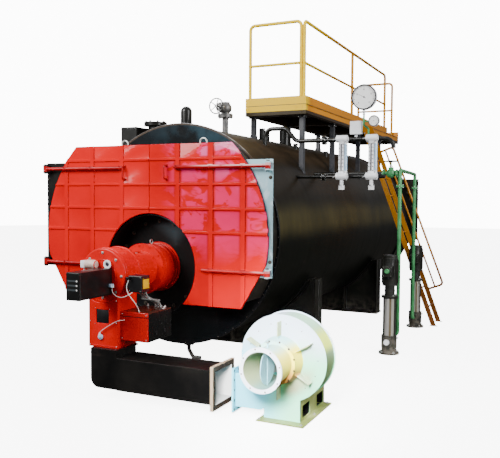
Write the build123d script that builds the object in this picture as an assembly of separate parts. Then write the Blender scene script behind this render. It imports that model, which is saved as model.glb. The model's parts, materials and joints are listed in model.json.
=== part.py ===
from build123d import *
from math import cos, hypot, radians, sin, sqrt, tan
import os

# Millimetres. X runs to the right of the front, Y from front to back, Z up from the floor.
# The origin is on the floor under the middle of the front saddle.

# Drum
SHELL_R = 1225
SHELL_WALL = 75
FLOOR_GAP = 265
SHEET_LAP = 25
SHEET_T = 25
FRONT_OVERHANG = 1477
SHEET_SPAN = 5955
PLATE_T = 12
SEAT = 0.3

# Saddles
SADDLE_SPAN = 3001
SADDLE_INSET = 35
SADDLE_DROP = 600
SADDLE_DEPTH = 300
SADDLE_BASE_T = 20
SADDLE_WEB_T = 20
GUSSET_T = 14
GUSSET_MARGIN = 20
INNER_GUSSET_X = 620
WEAR_T = 14

# Front smokebox
SMOKEBOX_DEPTH = 547
TOP_DROP = 270
FOOT_RISE = 575
TAPER_IN = 34

# Doors
DOOR_LAP = 142
DOOR_SILL = 40
TAPER_TOP_IN = 22
TAPER_TOP_Z = -240
TAPER_FOOT_IN = 287
DOOR_GAP = 6
LEAF_T = 20
SEAM_GAP = 6
RIB_T = 10
RIB_W = 50
RIB_XS = (350, 740, 1100)
BATTEN_DROPS = (157, 417, 667, 907)
BATTEN_W = 24
HANDLE_XS = (-310, 210)
HANDLE_LENGTH = 140
HANDLE_DROP = 222
HANDLE_R = 8
HANDLE_OUT = 48

# Hinges
HINGE_OUT = 8
HINGE_STAND = 30
UPPER_BAR_DROP = 242
LOWER_BAR_RISE = 370
UPPER_BAR_START = 325
LOWER_BAR_START = 650
BAR_R = 18
KNUCKLE_R = 28
KNUCKLE_H = 60
LUG_T = 14
PIN_R = 12
PIN_CLEARANCE = 0.05
HINGE_PLATE_W = 403
HINGE_PLATE_OVER = 68
HINGE_PLATE_UNDER = 49

# Burner throat
THROAT_Z = -310
THROAT_R = 545
THROAT_WALL = 12
THROAT_MARGIN = 11
BURNER_RECESS = 174
BURNER_PLATE_T = 25

# Burner
BURNER_DROP = 20
REAR_DRUM_R = 250
REAR_DRUM_L = 320
RIM_LAP = 15
RIM_T = 16
NECK_R = 190
NECK_L = 380
NECK_WALL = 12
NECK_END = 20
SLOT_HALF = 60
SLOT_MARGIN = 60
FRONT_DRUM_R = 260
FRONT_DRUM_L = 290
DRUM_FILLET = 18
SIGHT_GLASS = (74, 110)
SIGHT_GLASS_R = 30
SIGHT_GLASS_OUT = 22
SENSOR_X = (-165, -45)
SENSOR_Z = 103
SENSOR_R = 38
INLET_X = (-142, 195)
INLET_BOX_DROP = 685
INLET_LIP = 30
INLET_SETBACK = 10
WINDOW_X = (-52, 92)
WINDOW_RISE = 232
WINDOW_H = 130
WINDOW_DEPTH = 25
CONTROL_W = 312
CONTROL_L = 410
CONTROL_H = 275
CONTROL_RISE = 80
CONTROL_SETBACK = 40
PANEL_W = 145
PANEL_L = 480
PANEL_H = 250
PANEL_LEFT = 22
PANEL_LIFT = 75
ACTUATOR_W = 150
ACTUATOR_L = 135
ACTUATOR_H = 155
ACTUATOR_LIFT = 15
ACTUATOR_GAP = 40
ACTUATOR_LEAD = 10
BRACKET_GAP = 15
BRACKET_SINK = 4
BRACKET_W = 70
BRACKET_SETBACK = 70
PANEL_BRACKET_IN = 60
ACTUATOR_BRACKET_OUT = 70
ACTUATOR_BRACKET_IN = 35
BOX_FILLET = 8
CONDUIT_R = 9
CONDUIT_XS = (370, 400, 430)
CONDUIT_IN = 40
CONDUIT_SHIFT = 20
CONDUIT_RISE = 65
CONDUIT_BEND = 45
LEAD_R = 3.5
LEAD_BEND = 30
LEAD_STAND = 18
PLUG = (28, 46, 24)
PLUG_SETBACK = 12
PLUG_DROP = 85
MOTOR_PLUG = (18, -20)
NIPPLE = (0, 103)
NIPPLE_R = 11
NIPPLE_L = 26

# Air duct
RISER_X = (-83, 215)
DUCT_L = 1346
DUCT_Z = (100, 400)
DUCT_LIP = 50
DUCT_SETBACK = 40
DUCT_CORNER_R = 90
DUCT_WALL = 4
DUCT_OPEN_L = 400
FRAME_W = 45
FRAME_T = 30

# Air fan
FAN_STAND = 549
FAN_Z = 535
FAN_SETBACK = 150
FAN_DEPTH = 240
SCROLL_LEFT = 375
SCROLL_TOP = 385
SCROLL_RIGHT = 410
SCROLL_LOW = 370
SCROLL_FOOT = 465
OUTLET_REACH = 427
OUTLET_DROP = 165
OUTLET_RIM = 45
OUTLET_RIM_T = 20
CASING_T = 8
CASING_LIP = 12
CASING_EYE_L = 60
INLET_PIPE_R = 150
INLET_PIPE_WALL = 5
INLET_RIM_LAP = 31
INLET_RIM_T = 16
INLET_L = 430
COLLAR_STAND = 145
CONE_R = (175, 205)
FIN_COUNT = 6
FIN_T = 8
FIN_REACH = 330
FIN_STAND = 85
DAMPER_GAP = 8
DAMPER_T = 6
DAMPER_SHAFT_R = 8
DAMPER_SHAFT_OUT = 40
FAN_FOOT_LEFT = 190
FAN_FOOT_RIGHT = 240
FAN_FOOT_LEAD = 90
FAN_FOOT_BACK = 420
FAN_FOOT_T = 12
FAN_FOOT_W = 60
TRESTLE_LEFT = 155
TRESTLE_RIGHT = 178
TRESTLE_T = 10
TRESTLE_WINDOWS = ((60, 250), (420, 600))
TRESTLE_WINDOW_Z = (30, 140)
TRESTLE_NECK = 330
MOTOR_R = 150
MOTOR_L = 320
MOTOR_STAND = 60
MOTOR_SHAFT_R = 24
MOTOR_FOOT_W = 130
MOTOR_FOOT_H = 20
MOTOR_FOOT_IN = 40

# Platform
DECK_CLEAR = 355
DECK_T = 6
DECK_W = 825
DECK_OUT = 175
DECK_LEAD = 190
DECK_L = 5020
CHANNEL_H = 120
CHANNEL_W = 50
TOE_H = 100
TOE_T = 6
RAIL_H = 1020
RAIL_R = 21
MID_RAIL_R = 17
POST_IN = 45
POST_PITCH = (2045, 2000)
RAIL_TAIL = 20
END_RAIL_IN = 80
SUPPORT_XS = (55, 100)
SUPPORT_LEAD = 140
SUPPORT_PITCHES = (0, 1200, 2500, 3800)
SUPPORT_W = 60
SUPPORT_FOOT = 1.6
SUPPORT_FOOT_H = 40

# Ladder
LADDER_REACH = 1170
LADDER_START = 2410
LADDER_W = 420
STRINGER_W = 70
STRINGER_T = 12
RUNG_R = 11
RUNG_COUNT = 10
RUNG_OFFSET = 12
HANDRAIL_OUT = 260
HANDRAIL_FOOT = 20
HANDRAIL_R = 17
HANDRAIL_MID_R = 14
HANDRAIL_BEND = 50
HANDRAIL_LOW = 525
HANDRAIL_HIGH_DROP = 460

# Top fittings
EYE_X = 500
EYE_SETBACK = 244
EYE_R = 40
EYE_BAR = 9
EYE_PAD = (45, 30)
EYE_PAD_T = 12
STUB_SETBACK = 187
STUB_R = 65
STUB_H = 235
LEFT_NOZZLE = (-470, 267)
LEFT_NOZZLE_H = 55
LEFT_NOZZLE_R = 85
LEFT_NOZZLE_RIM_R = 135
LEFT_NOZZLE_RIM_T = 22
PROBES = ((345, 1547, 40, 95), (220, 1927, 60, 95), (330, 2377, 80, 145))
INSTRUMENT_BOX_X = (-830, -610)
INSTRUMENT_BOX_SETBACK = (77, 347)
INSTRUMENT_BOX_H = 15

# Main steam valve
VALVE_X = 70
VALVE_SETBACK = 1027
VALVE_H = 195
VALVE_PIPE_R = 38
VALVE_FLANGE_R = 95
VALVE_FLANGE_T = 20
VALVE_NECK_R = 55
VALVE_NECK_H = 150
VALVE_BALL_R = 80
VALVE_AXIS_H = 115
BONNET_R = 45
BONNET_L = 150
BONNET_FLANGE_R = 58
BONNET_FLANGE_T = 20
STEM_R = 10
STEM_L = 110
WHEEL_R = 100
WHEEL_RIM = 8
WHEEL_SETBACK = 15
HUB_WALL = 9
HUB_H = 22
RIM_SEAM_TURN = 17

# Gauge pipes
HEADER_SETBACK = 1067
HEADER_DROP = 125
HEADER_R = 26
HEADER_SPACING = 430
LOW_HEADER_R = 21
HEADER_START = 600
HEADER_RISE = 230
HEADER_ARCH = (880, 1010)
HEADER_END = 965
HEADER_TAIL = 110
HEADER_BEND = 100
HEADER_SINK = 40
LOW_HEADER_END = 875
FLANGE_OUT = 125
HEADER_FLANGE_R = 55
HEADER_FLANGE_T = 18
LOW_FLANGE_R = 45

# Level gauges
GAUGE_OUTS = (395, 745)
GAUGE_FORWARD = 110
GAUGE_W = 62
GAUGE_OVER = 30
SLIT_W = 16
SLIT_DEPTH = 14
SLIT_MARGIN = 60
COCK_R = 42
COCK_W = 124
COCK_STEM_R = 22
DRAIN_R = 20
DRAIN_L = 100
DRAIN_NUT_R = 34
DRAIN_NUT_L = 50
GLASS_R = 16
GLASS_OUT = 48

# Level controller
CONTROLLER_X = (70, 200)
CONTROLLER_Y = (-40, 30)
CONTROLLER_H = 150
CONTROLLER_STEM = 30
CONTROLLER_STEM_R = 18

# Pressure gauges
DIAL_OUT = 635
DIAL_FORWARD = 60
DIAL_RISE = 470
DIAL_R = 145
DIAL_CASE = 50
DIAL_RIM = 10
DIAL_RECESS = 12
DIAL_STEM_R = 11
DIAL_STEM_L = 60
SIPHON_DROP = 110
SIPHON_SHIFT = 40
SIPHON_BEND = 20
BRANCH_DROP = 70
BRANCH_R = 8
SMALL_DIAL_OUT = 125
SMALL_DIAL_R = 63
SMALL_DIAL_RIM = 7
SMALL_DIAL_CASE = 35
SMALL_DIAL_RECESS = 8

# Feed line
FEED_DROP = 495
FEED_SETBACK = 1832
FEED_R = 24
FEED_VALVE_OUT = 760
FEED_BALL_R = 58
FEED_FLANGE_R = 52
FEED_FLANGE_T = 16
FEED_FLANGE_REACH = (100, 82)
FEED_BONNET_R = 34
FEED_BONNET_H = 75
FEED_STEM_R = 9
FEED_STEM_H = 165
FEED_WHEEL_R = 88
FEED_WHEEL_RIM = 7
FEED_WHEEL_H = 152
RISER_OUT = 875
RISER_BEND = 28
RISER_STEP = 70
JOINT_DROP = 160
JOINT_R = 48
JOINT_T = 14
LINK_RISE = 40
PORT_TAIL = 60

# Feed pumps
PUMP_OUTS = (815, 750)
PUMP_YS = (160, 2060)
PORT_Z = 160
PORT_REACH = 136
PORT_R = 38
PORT_FLANGE_R = 62
PORT_FLANGE_T = 18
PUMP_BASE_R = 125
PUMP_BASE_T = 22
PUMP_WAIST_R = 90
PUMP_WAIST_Z = 75
PUMP_BOWL_R = 95
PUMP_FOOT_TOP = 230
SLEEVE_R = 76
SLEEVE_L = 460
TIE_ROD_R = 7
TIE_ROD_COUNT = 4
TIE_RING_R = 84
STOOL_R = 100
STOOL_T = 30
STOOL_NECK_R = 62
STOOL_H = 150
ADAPTER_R = 90
ADAPTER_T = 15
PUMP_MOTOR_R = 95
PUMP_MOTOR_L = 325
COWL_R = 88
COWL_L = 35
TERMINAL_W = 120
TERMINAL_OUT = (60, 150)
TERMINAL_RISE = 105
TERMINAL_H = 130

# Drain
DRAIN_X = 20
DRAIN_SETBACK = 227
DRAIN_PIPE_R = 22
DRAIN_TURN_Z = 130
DRAIN_LOW_Z = 60
DRAIN_RUN = (90, 190)
DRAIN_SHIFT = 60
DRAIN_BEND = 25
DRAIN_FLANGE_R = 60
DRAIN_FLANGE_T = 15
DRAIN_FLANGE_DROP = 60

# Places that follow from the sizes
AXIS_Z = FLOOR_GAP + SHELL_R
DRUM_TOP = AXIS_Z + SHELL_R
SHEET_R = SHELL_R + SHEET_LAP
FRONT_SHEET_Y = -FRONT_OVERHANG
REAR_SHEET_Y = FRONT_SHEET_Y + SHEET_SPAN
SADDLE_HALF = SHELL_R - SADDLE_INSET
SADDLE_TOP = AXIS_Z - SADDLE_DROP
SMOKEBOX_TOP = SHELL_R - TOP_DROP
SMOKEBOX_FOOT = FOOT_RISE - SHELL_R
DOOR_R = SHELL_R + DOOR_LAP
DOOR_TOP = SMOKEBOX_TOP + PLATE_T
DOOR_FOOT = SMOKEBOX_FOOT - DOOR_SILL
TAPER_TOP_X = DOOR_R - TAPER_TOP_IN
TAPER_FOOT_X = DOOR_R - TAPER_FOOT_IN
FLANGE_Y = FRONT_SHEET_Y - SMOKEBOX_DEPTH
LEAF_BACK = FLANGE_Y - DOOR_GAP
LEAF_FACE = LEAF_BACK - LEAF_T
RIB_FACE = LEAF_FACE - RIB_T
HINGE_X = DOOR_R + HINGE_OUT
HINGE_Y = LEAF_FACE - HINGE_STAND
UPPER_BAR_Z = DOOR_TOP - UPPER_BAR_DROP
LOWER_BAR_Z = DOOR_FOOT + LOWER_BAR_RISE
HINGE_PLATE_X = HINGE_X + KNUCKLE_R
HINGE_PLATE_TOP = UPPER_BAR_Z + HINGE_PLATE_OVER
HINGE_PLATE_FOOT = LOWER_BAR_Z - HINGE_PLATE_UNDER
THROAT_CUT_R = THROAT_R + THROAT_MARGIN
BURNER_Z = AXIS_Z + THROAT_Z - BURNER_DROP
BURNER_PLATE_Y = FLANGE_Y + BURNER_RECESS
REAR_RIM_R = REAR_DRUM_R + RIM_LAP
REAR_DRUM_FRONT = BURNER_PLATE_Y - REAR_DRUM_L
FRONT_DRUM_BACK = REAR_DRUM_FRONT - NECK_L
FRONT_DRUM_FRONT = FRONT_DRUM_BACK - FRONT_DRUM_L
INLET_Y = (FRONT_DRUM_FRONT - INLET_LIP, FRONT_DRUM_BACK - INLET_SETBACK)
INLET_BOTTOM = BURNER_Z - INLET_BOX_DROP
CONTROL_X = (INLET_X[1] + SEAT, INLET_X[1] + SEAT + CONTROL_W)
CONTROL_Y = (INLET_Y[0] + CONTROL_SETBACK, INLET_Y[0] + CONTROL_SETBACK + CONTROL_L)
CONTROL_Z = (INLET_BOTTOM + CONTROL_RISE, INLET_BOTTOM + CONTROL_RISE + CONTROL_H)
PANEL_X = (-PANEL_LEFT, PANEL_W - PANEL_LEFT)
PANEL_Y = (FRONT_DRUM_FRONT - BRACKET_GAP - PANEL_L, FRONT_DRUM_FRONT - BRACKET_GAP)
PANEL_Z = (BURNER_Z + PANEL_LIFT - PANEL_H, BURNER_Z + PANEL_LIFT)
ACTUATOR_X = (FRONT_DRUM_R + ACTUATOR_GAP, FRONT_DRUM_R + ACTUATOR_GAP + ACTUATOR_W)
ACTUATOR_Y = (FRONT_DRUM_FRONT - ACTUATOR_LEAD, FRONT_DRUM_FRONT - ACTUATOR_LEAD + ACTUATOR_L)
ACTUATOR_Z = (BURNER_Z + ACTUATOR_LIFT - ACTUATOR_H, BURNER_Z + ACTUATOR_LIFT)
DUCT_X = (RISER_X[0], RISER_X[0] + DUCT_L)
DUCT_Y = (INLET_Y[0] - DUCT_LIP, INLET_Y[1] - DUCT_SETBACK)
FAN_X = DUCT_X[1] + FAN_STAND
FAN_FRONT = DUCT_Y[0] + FAN_SETBACK
FAN_BACK = FAN_FRONT + FAN_DEPTH
OUTLET_X = FAN_X - OUTLET_REACH
OUTLET_TOP = FAN_Z - OUTLET_DROP
INLET_FRONT = FAN_FRONT - INLET_L
INLET_RIM_R = INLET_PIPE_R + INLET_PIPE_WALL + INLET_RIM_LAP
COLLAR_Y = FAN_FRONT - COLLAR_STAND
DAMPER_R = INLET_PIPE_R - DAMPER_GAP
DAMPER_Y = INLET_FRONT + DAMPER_R + DAMPER_T / 2
FAN_BASE_X = (FAN_X - FAN_FOOT_LEFT, FAN_X + FAN_FOOT_RIGHT)
FAN_BASE_Y = (FAN_FRONT - FAN_FOOT_LEAD, FAN_BACK + FAN_FOOT_BACK)
DECK_Z = DRUM_TOP + DECK_CLEAR
DECK_X = (SHELL_R - DECK_OUT - DECK_W, SHELL_R - DECK_OUT)
DECK_Y = (-DECK_LEAD, DECK_L - DECK_LEAD)
RAIL_TOP = DECK_Z + RAIL_H
RAIL_MID = DECK_Z + RAIL_H / 2
RAIL_BEND = 3 * RAIL_R
POST_YS = (DECK_Y[0] + POST_IN, DECK_Y[0] + POST_IN + POST_PITCH[0],
           DECK_Y[0] + POST_IN + sum(POST_PITCH))
LADDER_Y = (DECK_Y[0] + LADDER_START, DECK_Y[0] + LADDER_START + LADDER_W)
LADDER_FOOT_X = DECK_X[1] + LADDER_REACH
LADDER_TOP_X = DECK_X[1] + SEAT
LADDER_TOP_Z = DECK_Z - DECK_T
LADDER_LEAN = hypot(LADDER_FOOT_X - LADDER_TOP_X, LADDER_TOP_Z)
LADDER_COS = (LADDER_FOOT_X - LADDER_TOP_X) / LADDER_LEAN
LADDER_SIN = LADDER_TOP_Z / LADDER_LEAN
EYE_Y = FLANGE_Y + EYE_SETBACK
VALVE_Y = FRONT_SHEET_Y + VALVE_SETBACK
VALVE_FLANGE_Z = DRUM_TOP + VALVE_H
VALVE_AXIS_Z = VALVE_FLANGE_Z + VALVE_AXIS_H
HEADER_Y = FRONT_SHEET_Y + HEADER_SETBACK
HEADER_TOP_Z = DRUM_TOP - HEADER_DROP
HEADER_LOW_Z = HEADER_TOP_Z - HEADER_SPACING
HEADER_END_X = SHELL_R + HEADER_END
GAUGE_XS = tuple(SHELL_R + out for out in GAUGE_OUTS)
GAUGE_Y = HEADER_Y - GAUGE_FORWARD
DIAL_X = SHELL_R + DIAL_OUT
DIAL_Y = HEADER_Y - DIAL_FORWARD
DIAL_Z = HEADER_TOP_Z + DIAL_RISE
DIAL_FOOT = DIAL_Z - DIAL_R - DIAL_STEM_L
FEED_Z = DRUM_TOP - FEED_DROP
FEED_Y = FRONT_SHEET_Y + FEED_SETBACK
FEED_VALVE_X = SHELL_R + FEED_VALVE_OUT
RISER_1_X = SHELL_R + RISER_OUT
PUMPS = tuple((SHELL_R + out, y) for out, y in zip(PUMP_OUTS, PUMP_YS))
SLEEVE_TOP = PUMP_FOOT_TOP + SLEEVE_L


def block(x, y, z):
    """A box between pairs of coordinates."""
    middle = (sum(x) / 2, sum(y) / 2, sum(z) / 2)
    return Pos(*middle) * Box(x[1] - x[0], y[1] - y[0], z[1] - z[0])


def around(middle, width):
    """The two ends of a width about its middle."""
    return middle - width / 2, middle + width / 2


def grown(span, amount):
    """A pair of coordinates moved apart by an amount at each end."""
    return span[0] - amount, span[1] + amount


def rod_x(radius, x0, x1, y, z):
    return Pos((x0 + x1) / 2, y, z) * Rot(0, 90, 0) * Cylinder(radius, x1 - x0)


def rod_y(radius, y0, y1, x, z):
    return Pos(x, (y0 + y1) / 2, z) * Rot(90, 0, 0) * Cylinder(radius, y1 - y0)


def rod_z(radius, z0, z1, x, y):
    return Pos(x, y, (z0 + z1) / 2) * Cylinder(radius, z1 - z0)


def upright(sketch, y_front, thickness, z=AXIS_Z):
    """A plate that faces the front, from a sketch in X and Z about the given height."""
    return Pos(0, y_front, z) * extrude(Plane.XZ * sketch, amount=-thickness)


def pipe(points, radius, bend):
    """A round bar or pipe along straight runs joined by tangent bends."""
    corners = [Vector(*point) for point in points]
    start = corners[0]
    runs = []
    for before, corner, after in zip(corners, corners[1:], corners[2:]):
        back = (before - corner).normalized()
        ahead = (after - corner).normalized()
        half = radians(back.get_angle(ahead) / 2)
        entry = corner + back * (bend / tan(half))
        leave = corner + ahead * (bend / tan(half))
        middle = corner + (back + ahead).normalized() * (bend / sin(half) - bend)
        runs.append(Line(start, entry))
        runs.append(ThreePointArc(entry, middle, leave))
        start = leave
    runs.append(Line(start, corners[-1]))
    path = Wire([run.edge() for run in runs])
    section = Plane(origin=path @ 0, z_dir=path % 0) * Circle(radius)
    return sweep(section, path=path)


def spun_y(profile, x, z):
    """A turned piece with its axis along Y, from half a section in radius and Y."""
    return Pos(x, 0, z) * Rot(-90, 0, 0) * revolve(Plane.XZ * profile, axis=Axis.Z)


def outline(radius, top, foot, taper_in):
    """The front's outline: a circle cut flat above and below and tapered at the lower sides."""
    slope = (TAPER_TOP_Z - DOOR_FOOT) / (TAPER_TOP_X - TAPER_FOOT_X)
    corner = TAPER_FOOT_X - taper_in + (foot - DOOR_FOOT) / slope
    wide = 2 * radius
    side = foot + slope * (wide - corner)
    edge = ((-corner, foot), (corner, foot), (wide, side), (wide, top), (-wide, top), (-wide, side))
    return Circle(radius) & Polygon(*edge)


def mirrored(shape):
    """The same piece at the back end of the drum."""
    middle = FRONT_SHEET_Y + SHEET_SPAN / 2
    return mirror(shape, about=Plane.XZ.offset(-middle))


def above_drum(x):
    """The height of the drum's surface above the floor at a distance from its middle."""
    return AXIS_Z + sqrt(SHELL_R ** 2 - x ** 2)


def beside_drum(z):
    """The drum's surface to the right of its middle at a height above the floor."""
    return sqrt(SHELL_R ** 2 - (z - AXIS_Z) ** 2)


def saddled(shape):
    """A piece that stands on the drum, cut to its curve."""
    return shape - rod_y(SHELL_R + SEAT, FRONT_SHEET_Y, REAR_SHEET_Y, 0, AXIS_Z)


# Drum

def shell():
    outer = rod_y(SHELL_R, FRONT_SHEET_Y + SHEET_T, REAR_SHEET_Y - SHEET_T, 0, AXIS_Z)
    return outer - rod_y(SHELL_R - SHELL_WALL, FRONT_SHEET_Y, REAR_SHEET_Y, 0, AXIS_Z)


def tubesheet():
    return upright(Circle(SHEET_R), FRONT_SHEET_Y, SHEET_T)


def throat_hole(radius):
    return Pos(0, THROAT_Z) * Circle(radius)


def smokebox_bore():
    """The smokebox's inside outline, one plate in from its outside."""
    return outline(SHELL_R - PLATE_T, SMOKEBOX_TOP - PLATE_T, SMOKEBOX_FOOT + PLATE_T, TAPER_IN + PLATE_T)


def smokebox(with_throat):
    wall = outline(SHELL_R, SMOKEBOX_TOP, SMOKEBOX_FOOT, TAPER_IN) - smokebox_bore()
    if with_throat:
        wall = wall - throat_hole(THROAT_R + SEAT)
    return upright(wall, FLANGE_Y + PLATE_T, SMOKEBOX_DEPTH - PLATE_T)


def flange(with_throat):
    ring = outline(DOOR_R, DOOR_TOP, DOOR_FOOT, 0) - smokebox_bore()
    if with_throat:
        ring = ring - throat_hole(THROAT_R + SEAT)
    return upright(ring, FLANGE_Y, PLATE_T)


def hinge_plate_outline(side):
    x = side * (HINGE_PLATE_X - HINGE_PLATE_W / 2)
    height = HINGE_PLATE_TOP - HINGE_PLATE_FOOT
    return Pos(x, HINGE_PLATE_FOOT + height / 2) * Rectangle(HINGE_PLATE_W, height)


def lug(side, z0):
    """A hinge lug that reaches forward from the hinge plate to round the pin."""
    x = side * HINGE_X
    reach = block(around(x, 2 * KNUCKLE_R), (HINGE_Y, FLANGE_Y), (z0, z0 + LUG_T))
    return reach + rod_z(KNUCKLE_R, z0, z0 + LUG_T, x, HINGE_Y)


def hinge_plate(side):
    """The plate beside the door's round edge with the lugs and pins of both hinges."""
    sketch = hinge_plate_outline(side) - outline(DOOR_R + SEAT, DOOR_TOP, DOOR_FOOT, -SEAT)
    plate = upright(sketch, FLANGE_Y, PLATE_T)
    for bar_z in (UPPER_BAR_Z, LOWER_BAR_Z):
        low, high = around(AXIS_Z + bar_z, KNUCKLE_H + 2 * SEAT)
        plate = plate + lug(side, high) + lug(side, low - LUG_T)
        plate = plate + rod_z(PIN_R, low - LUG_T, high + LUG_T, side * HINGE_X, HINGE_Y)
    return plate


def burner_throat():
    ring = Circle(THROAT_R) - Circle(THROAT_R - THROAT_WALL)
    return upright(Pos(0, THROAT_Z) * ring, FLANGE_Y, SMOKEBOX_DEPTH)


def burner_plate():
    disc = Circle(THROAT_R - THROAT_WALL - SEAT)
    return upright(Pos(0, THROAT_Z) * disc, BURNER_PLATE_Y, BURNER_PLATE_T)


def rear_cover():
    cover = outline(DOOR_R, DOOR_TOP, DOOR_FOOT, 0) + hinge_plate_outline(-1) + hinge_plate_outline(1)
    return mirrored(upright(cover, FLANGE_Y - LEAF_T, LEAF_T))


def saddle(y):
    """A welded saddle: base plate, web cut to the drum, gussets and a curved wear plate."""
    half = (-SADDLE_HALF, SADDLE_HALF)
    depth = around(y, SADDLE_DEPTH)
    body = block(half, depth, (0, SADDLE_BASE_T)) + block(half, around(y, SADDLE_WEB_T), (0, SADDLE_TOP))
    end_x = SADDLE_HALF - GUSSET_MARGIN
    gusset_depth = around(y, SADDLE_DEPTH - 2 * GUSSET_MARGIN)
    for x in (-end_x, -INNER_GUSSET_X, 0, INNER_GUSSET_X, end_x):
        body = body + block(around(x, GUSSET_T), gusset_depth, (0, SADDLE_TOP))
    wear = rod_y(SHELL_R + WEAR_T, *depth, 0, AXIS_Z) & block(half, depth, (0, SADDLE_TOP))
    return saddled(body + wear)


# Doors

def leaf_sketch(side):
    whole = outline(DOOR_R, DOOR_TOP, DOOR_FOOT, 0) - throat_hole(THROAT_CUT_R)
    half = Pos(side * (SEAM_GAP / 2 + DOOR_R), 0) * Rectangle(2 * DOOR_R, 3 * DOOR_R)
    return whole & half


def rib_sketch(side):
    ribs = Sketch()
    for x in RIB_XS:
        ribs = ribs + Pos(side * x, 0) * Rectangle(RIB_W, 3 * DOOR_R)
    for drop in BATTEN_DROPS:
        ribs = ribs + Pos(0, DOOR_TOP - drop) * Rectangle(3 * DOOR_R, BATTEN_W)
    return ribs & leaf_sketch(side)


def door(side):
    leaf = upright(leaf_sketch(side), LEAF_FACE, LEAF_T)
    return leaf + upright(rib_sketch(side), RIB_FACE, RIB_T)


def hinge_bar(side, z, start, cleats):
    """A strap bar with its cleats on the ribs and its knuckle round the pin."""
    x_in, x_out = sorted((side * start, side * HINGE_X))
    bar = rod_x(BAR_R, x_in, x_out, HINGE_Y, z)
    bar = bar + rod_z(KNUCKLE_R, *around(z, KNUCKLE_H), side * HINGE_X, HINGE_Y)
    for x in cleats:
        bar = bar + block(around(side * x, RIB_W), (HINGE_Y, RIB_FACE), around(z, RIB_W))
    return bar - rod_z(PIN_R + PIN_CLEARANCE, *around(z, 2 * KNUCKLE_H), side * HINGE_X, HINGE_Y)


def door_bars(side):
    upper = hinge_bar(side, AXIS_Z + UPPER_BAR_Z, UPPER_BAR_START, RIB_XS)
    return upper + hinge_bar(side, AXIS_Z + LOWER_BAR_Z, LOWER_BAR_START, RIB_XS[1:])


def door_handle(x):
    top = AXIS_Z + DOOR_TOP - HANDLE_DROP
    foot = top - HANDLE_LENGTH
    out = LEAF_FACE - HANDLE_OUT
    points = ((x, LEAF_FACE, foot), (x, out, foot), (x, out, top), (x, LEAF_FACE, top))
    return pipe(points, HANDLE_R, 2.5 * HANDLE_R)


# Burner

def burner_rear_drum():
    drum = rod_y(REAR_DRUM_R, REAR_DRUM_FRONT, BURNER_PLATE_Y - RIM_T, 0, BURNER_Z)
    back_rim = rod_y(REAR_RIM_R, BURNER_PLATE_Y - RIM_T, BURNER_PLATE_Y, 0, BURNER_Z)
    return drum + back_rim + rod_y(REAR_RIM_R, REAR_DRUM_FRONT - RIM_T, REAR_DRUM_FRONT, 0, BURNER_Z)


def burner_neck():
    """The pipe between the drums, open on top where the damper claw works."""
    y0, y1 = FRONT_DRUM_BACK, REAR_DRUM_FRONT - RIM_T
    neck = rod_y(NECK_R, y0, y1, 0, BURNER_Z)
    neck = neck - rod_y(NECK_R - NECK_WALL, y0 + NECK_END, y1 - NECK_END, 0, BURNER_Z)
    slot_y = (y0 + SLOT_MARGIN, y1 - SLOT_MARGIN)
    slot = block((-SLOT_HALF, SLOT_HALF), slot_y, (BURNER_Z, BURNER_Z + 2 * NECK_R))
    return neck - slot


def burner_front_drum():
    """The front drum with its sight glass and the flame sensor that lies across its face."""
    drum = rod_y(FRONT_DRUM_R, FRONT_DRUM_FRONT, FRONT_DRUM_BACK, 0, BURNER_Z)
    drum = fillet(drum.edges().filter_by(GeomType.CIRCLE), DRUM_FILLET)
    glass_x, glass_z = SIGHT_GLASS
    bezel_y = (FRONT_DRUM_FRONT - SIGHT_GLASS_OUT, FRONT_DRUM_FRONT)
    glass = rod_y(SIGHT_GLASS_R, *bezel_y, glass_x, BURNER_Z + glass_z)
    sensor_y = FRONT_DRUM_FRONT - SENSOR_R + BRACKET_SINK
    return drum + glass + rod_x(SENSOR_R, *SENSOR_X, sensor_y, BURNER_Z + SENSOR_Z)


def under_front_drum(shape):
    """A piece cut to the round of the front drum."""
    y0, y1 = FRONT_DRUM_FRONT - INLET_LIP - SEAT, FRONT_DRUM_BACK + SEAT
    return shape - rod_y(FRONT_DRUM_R + SEAT, y0, y1, 0, BURNER_Z)


def air_inlet_box():
    """The box that takes the air up into the front drum, with its small window."""
    box = under_front_drum(block(INLET_X, INLET_Y, (INLET_BOTTOM, BURNER_Z)))
    sill = INLET_BOTTOM + WINDOW_RISE
    window = block(WINDOW_X, (INLET_Y[0] - WINDOW_DEPTH, INLET_Y[0] + WINDOW_DEPTH), (sill, sill + WINDOW_H))
    return box - window


def rounded_block(x, y, z):
    body = block(x, y, z)
    return fillet(body.edges(), BOX_FILLET)


def control_box():
    return rounded_block(CONTROL_X, CONTROL_Y, CONTROL_Z)


def panel_box():
    """The small panel standing out before the front drum, with its bracket to the drum's face."""
    bracket = block(around(sum(PANEL_X) / 2, BRACKET_W), (PANEL_Y[1] - BRACKET_SINK, FRONT_DRUM_FRONT),
                    grown(PANEL_Z, -PANEL_BRACKET_IN))
    return rounded_block(PANEL_X, PANEL_Y, PANEL_Z) + bracket


def actuator():
    """The damper motor on the right with its bracket to the front drum."""
    bracket_x = (ACTUATOR_X[0] - ACTUATOR_BRACKET_OUT, ACTUATOR_X[0] + BRACKET_SINK)
    bracket = block(bracket_x, around(ACTUATOR_Y[0] + BRACKET_SETBACK, BRACKET_W),
                    grown(ACTUATOR_Z, -ACTUATOR_BRACKET_IN))
    return rounded_block(ACTUATOR_X, ACTUATOR_Y, ACTUATOR_Z) + under_front_drum(bracket)


def plug(x, face, z):
    """A lead's plug on an upright face, with its middle at a given height."""
    width, depth, height = PLUG
    return block(around(x, width), (face - depth, face), around(z, height))


def clear_of(shape, x, y, z):
    """A piece cut back to stand just off a box."""
    return shape - block(grown(x, SEAT), grown(y, SEAT), grown(z, SEAT))


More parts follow.
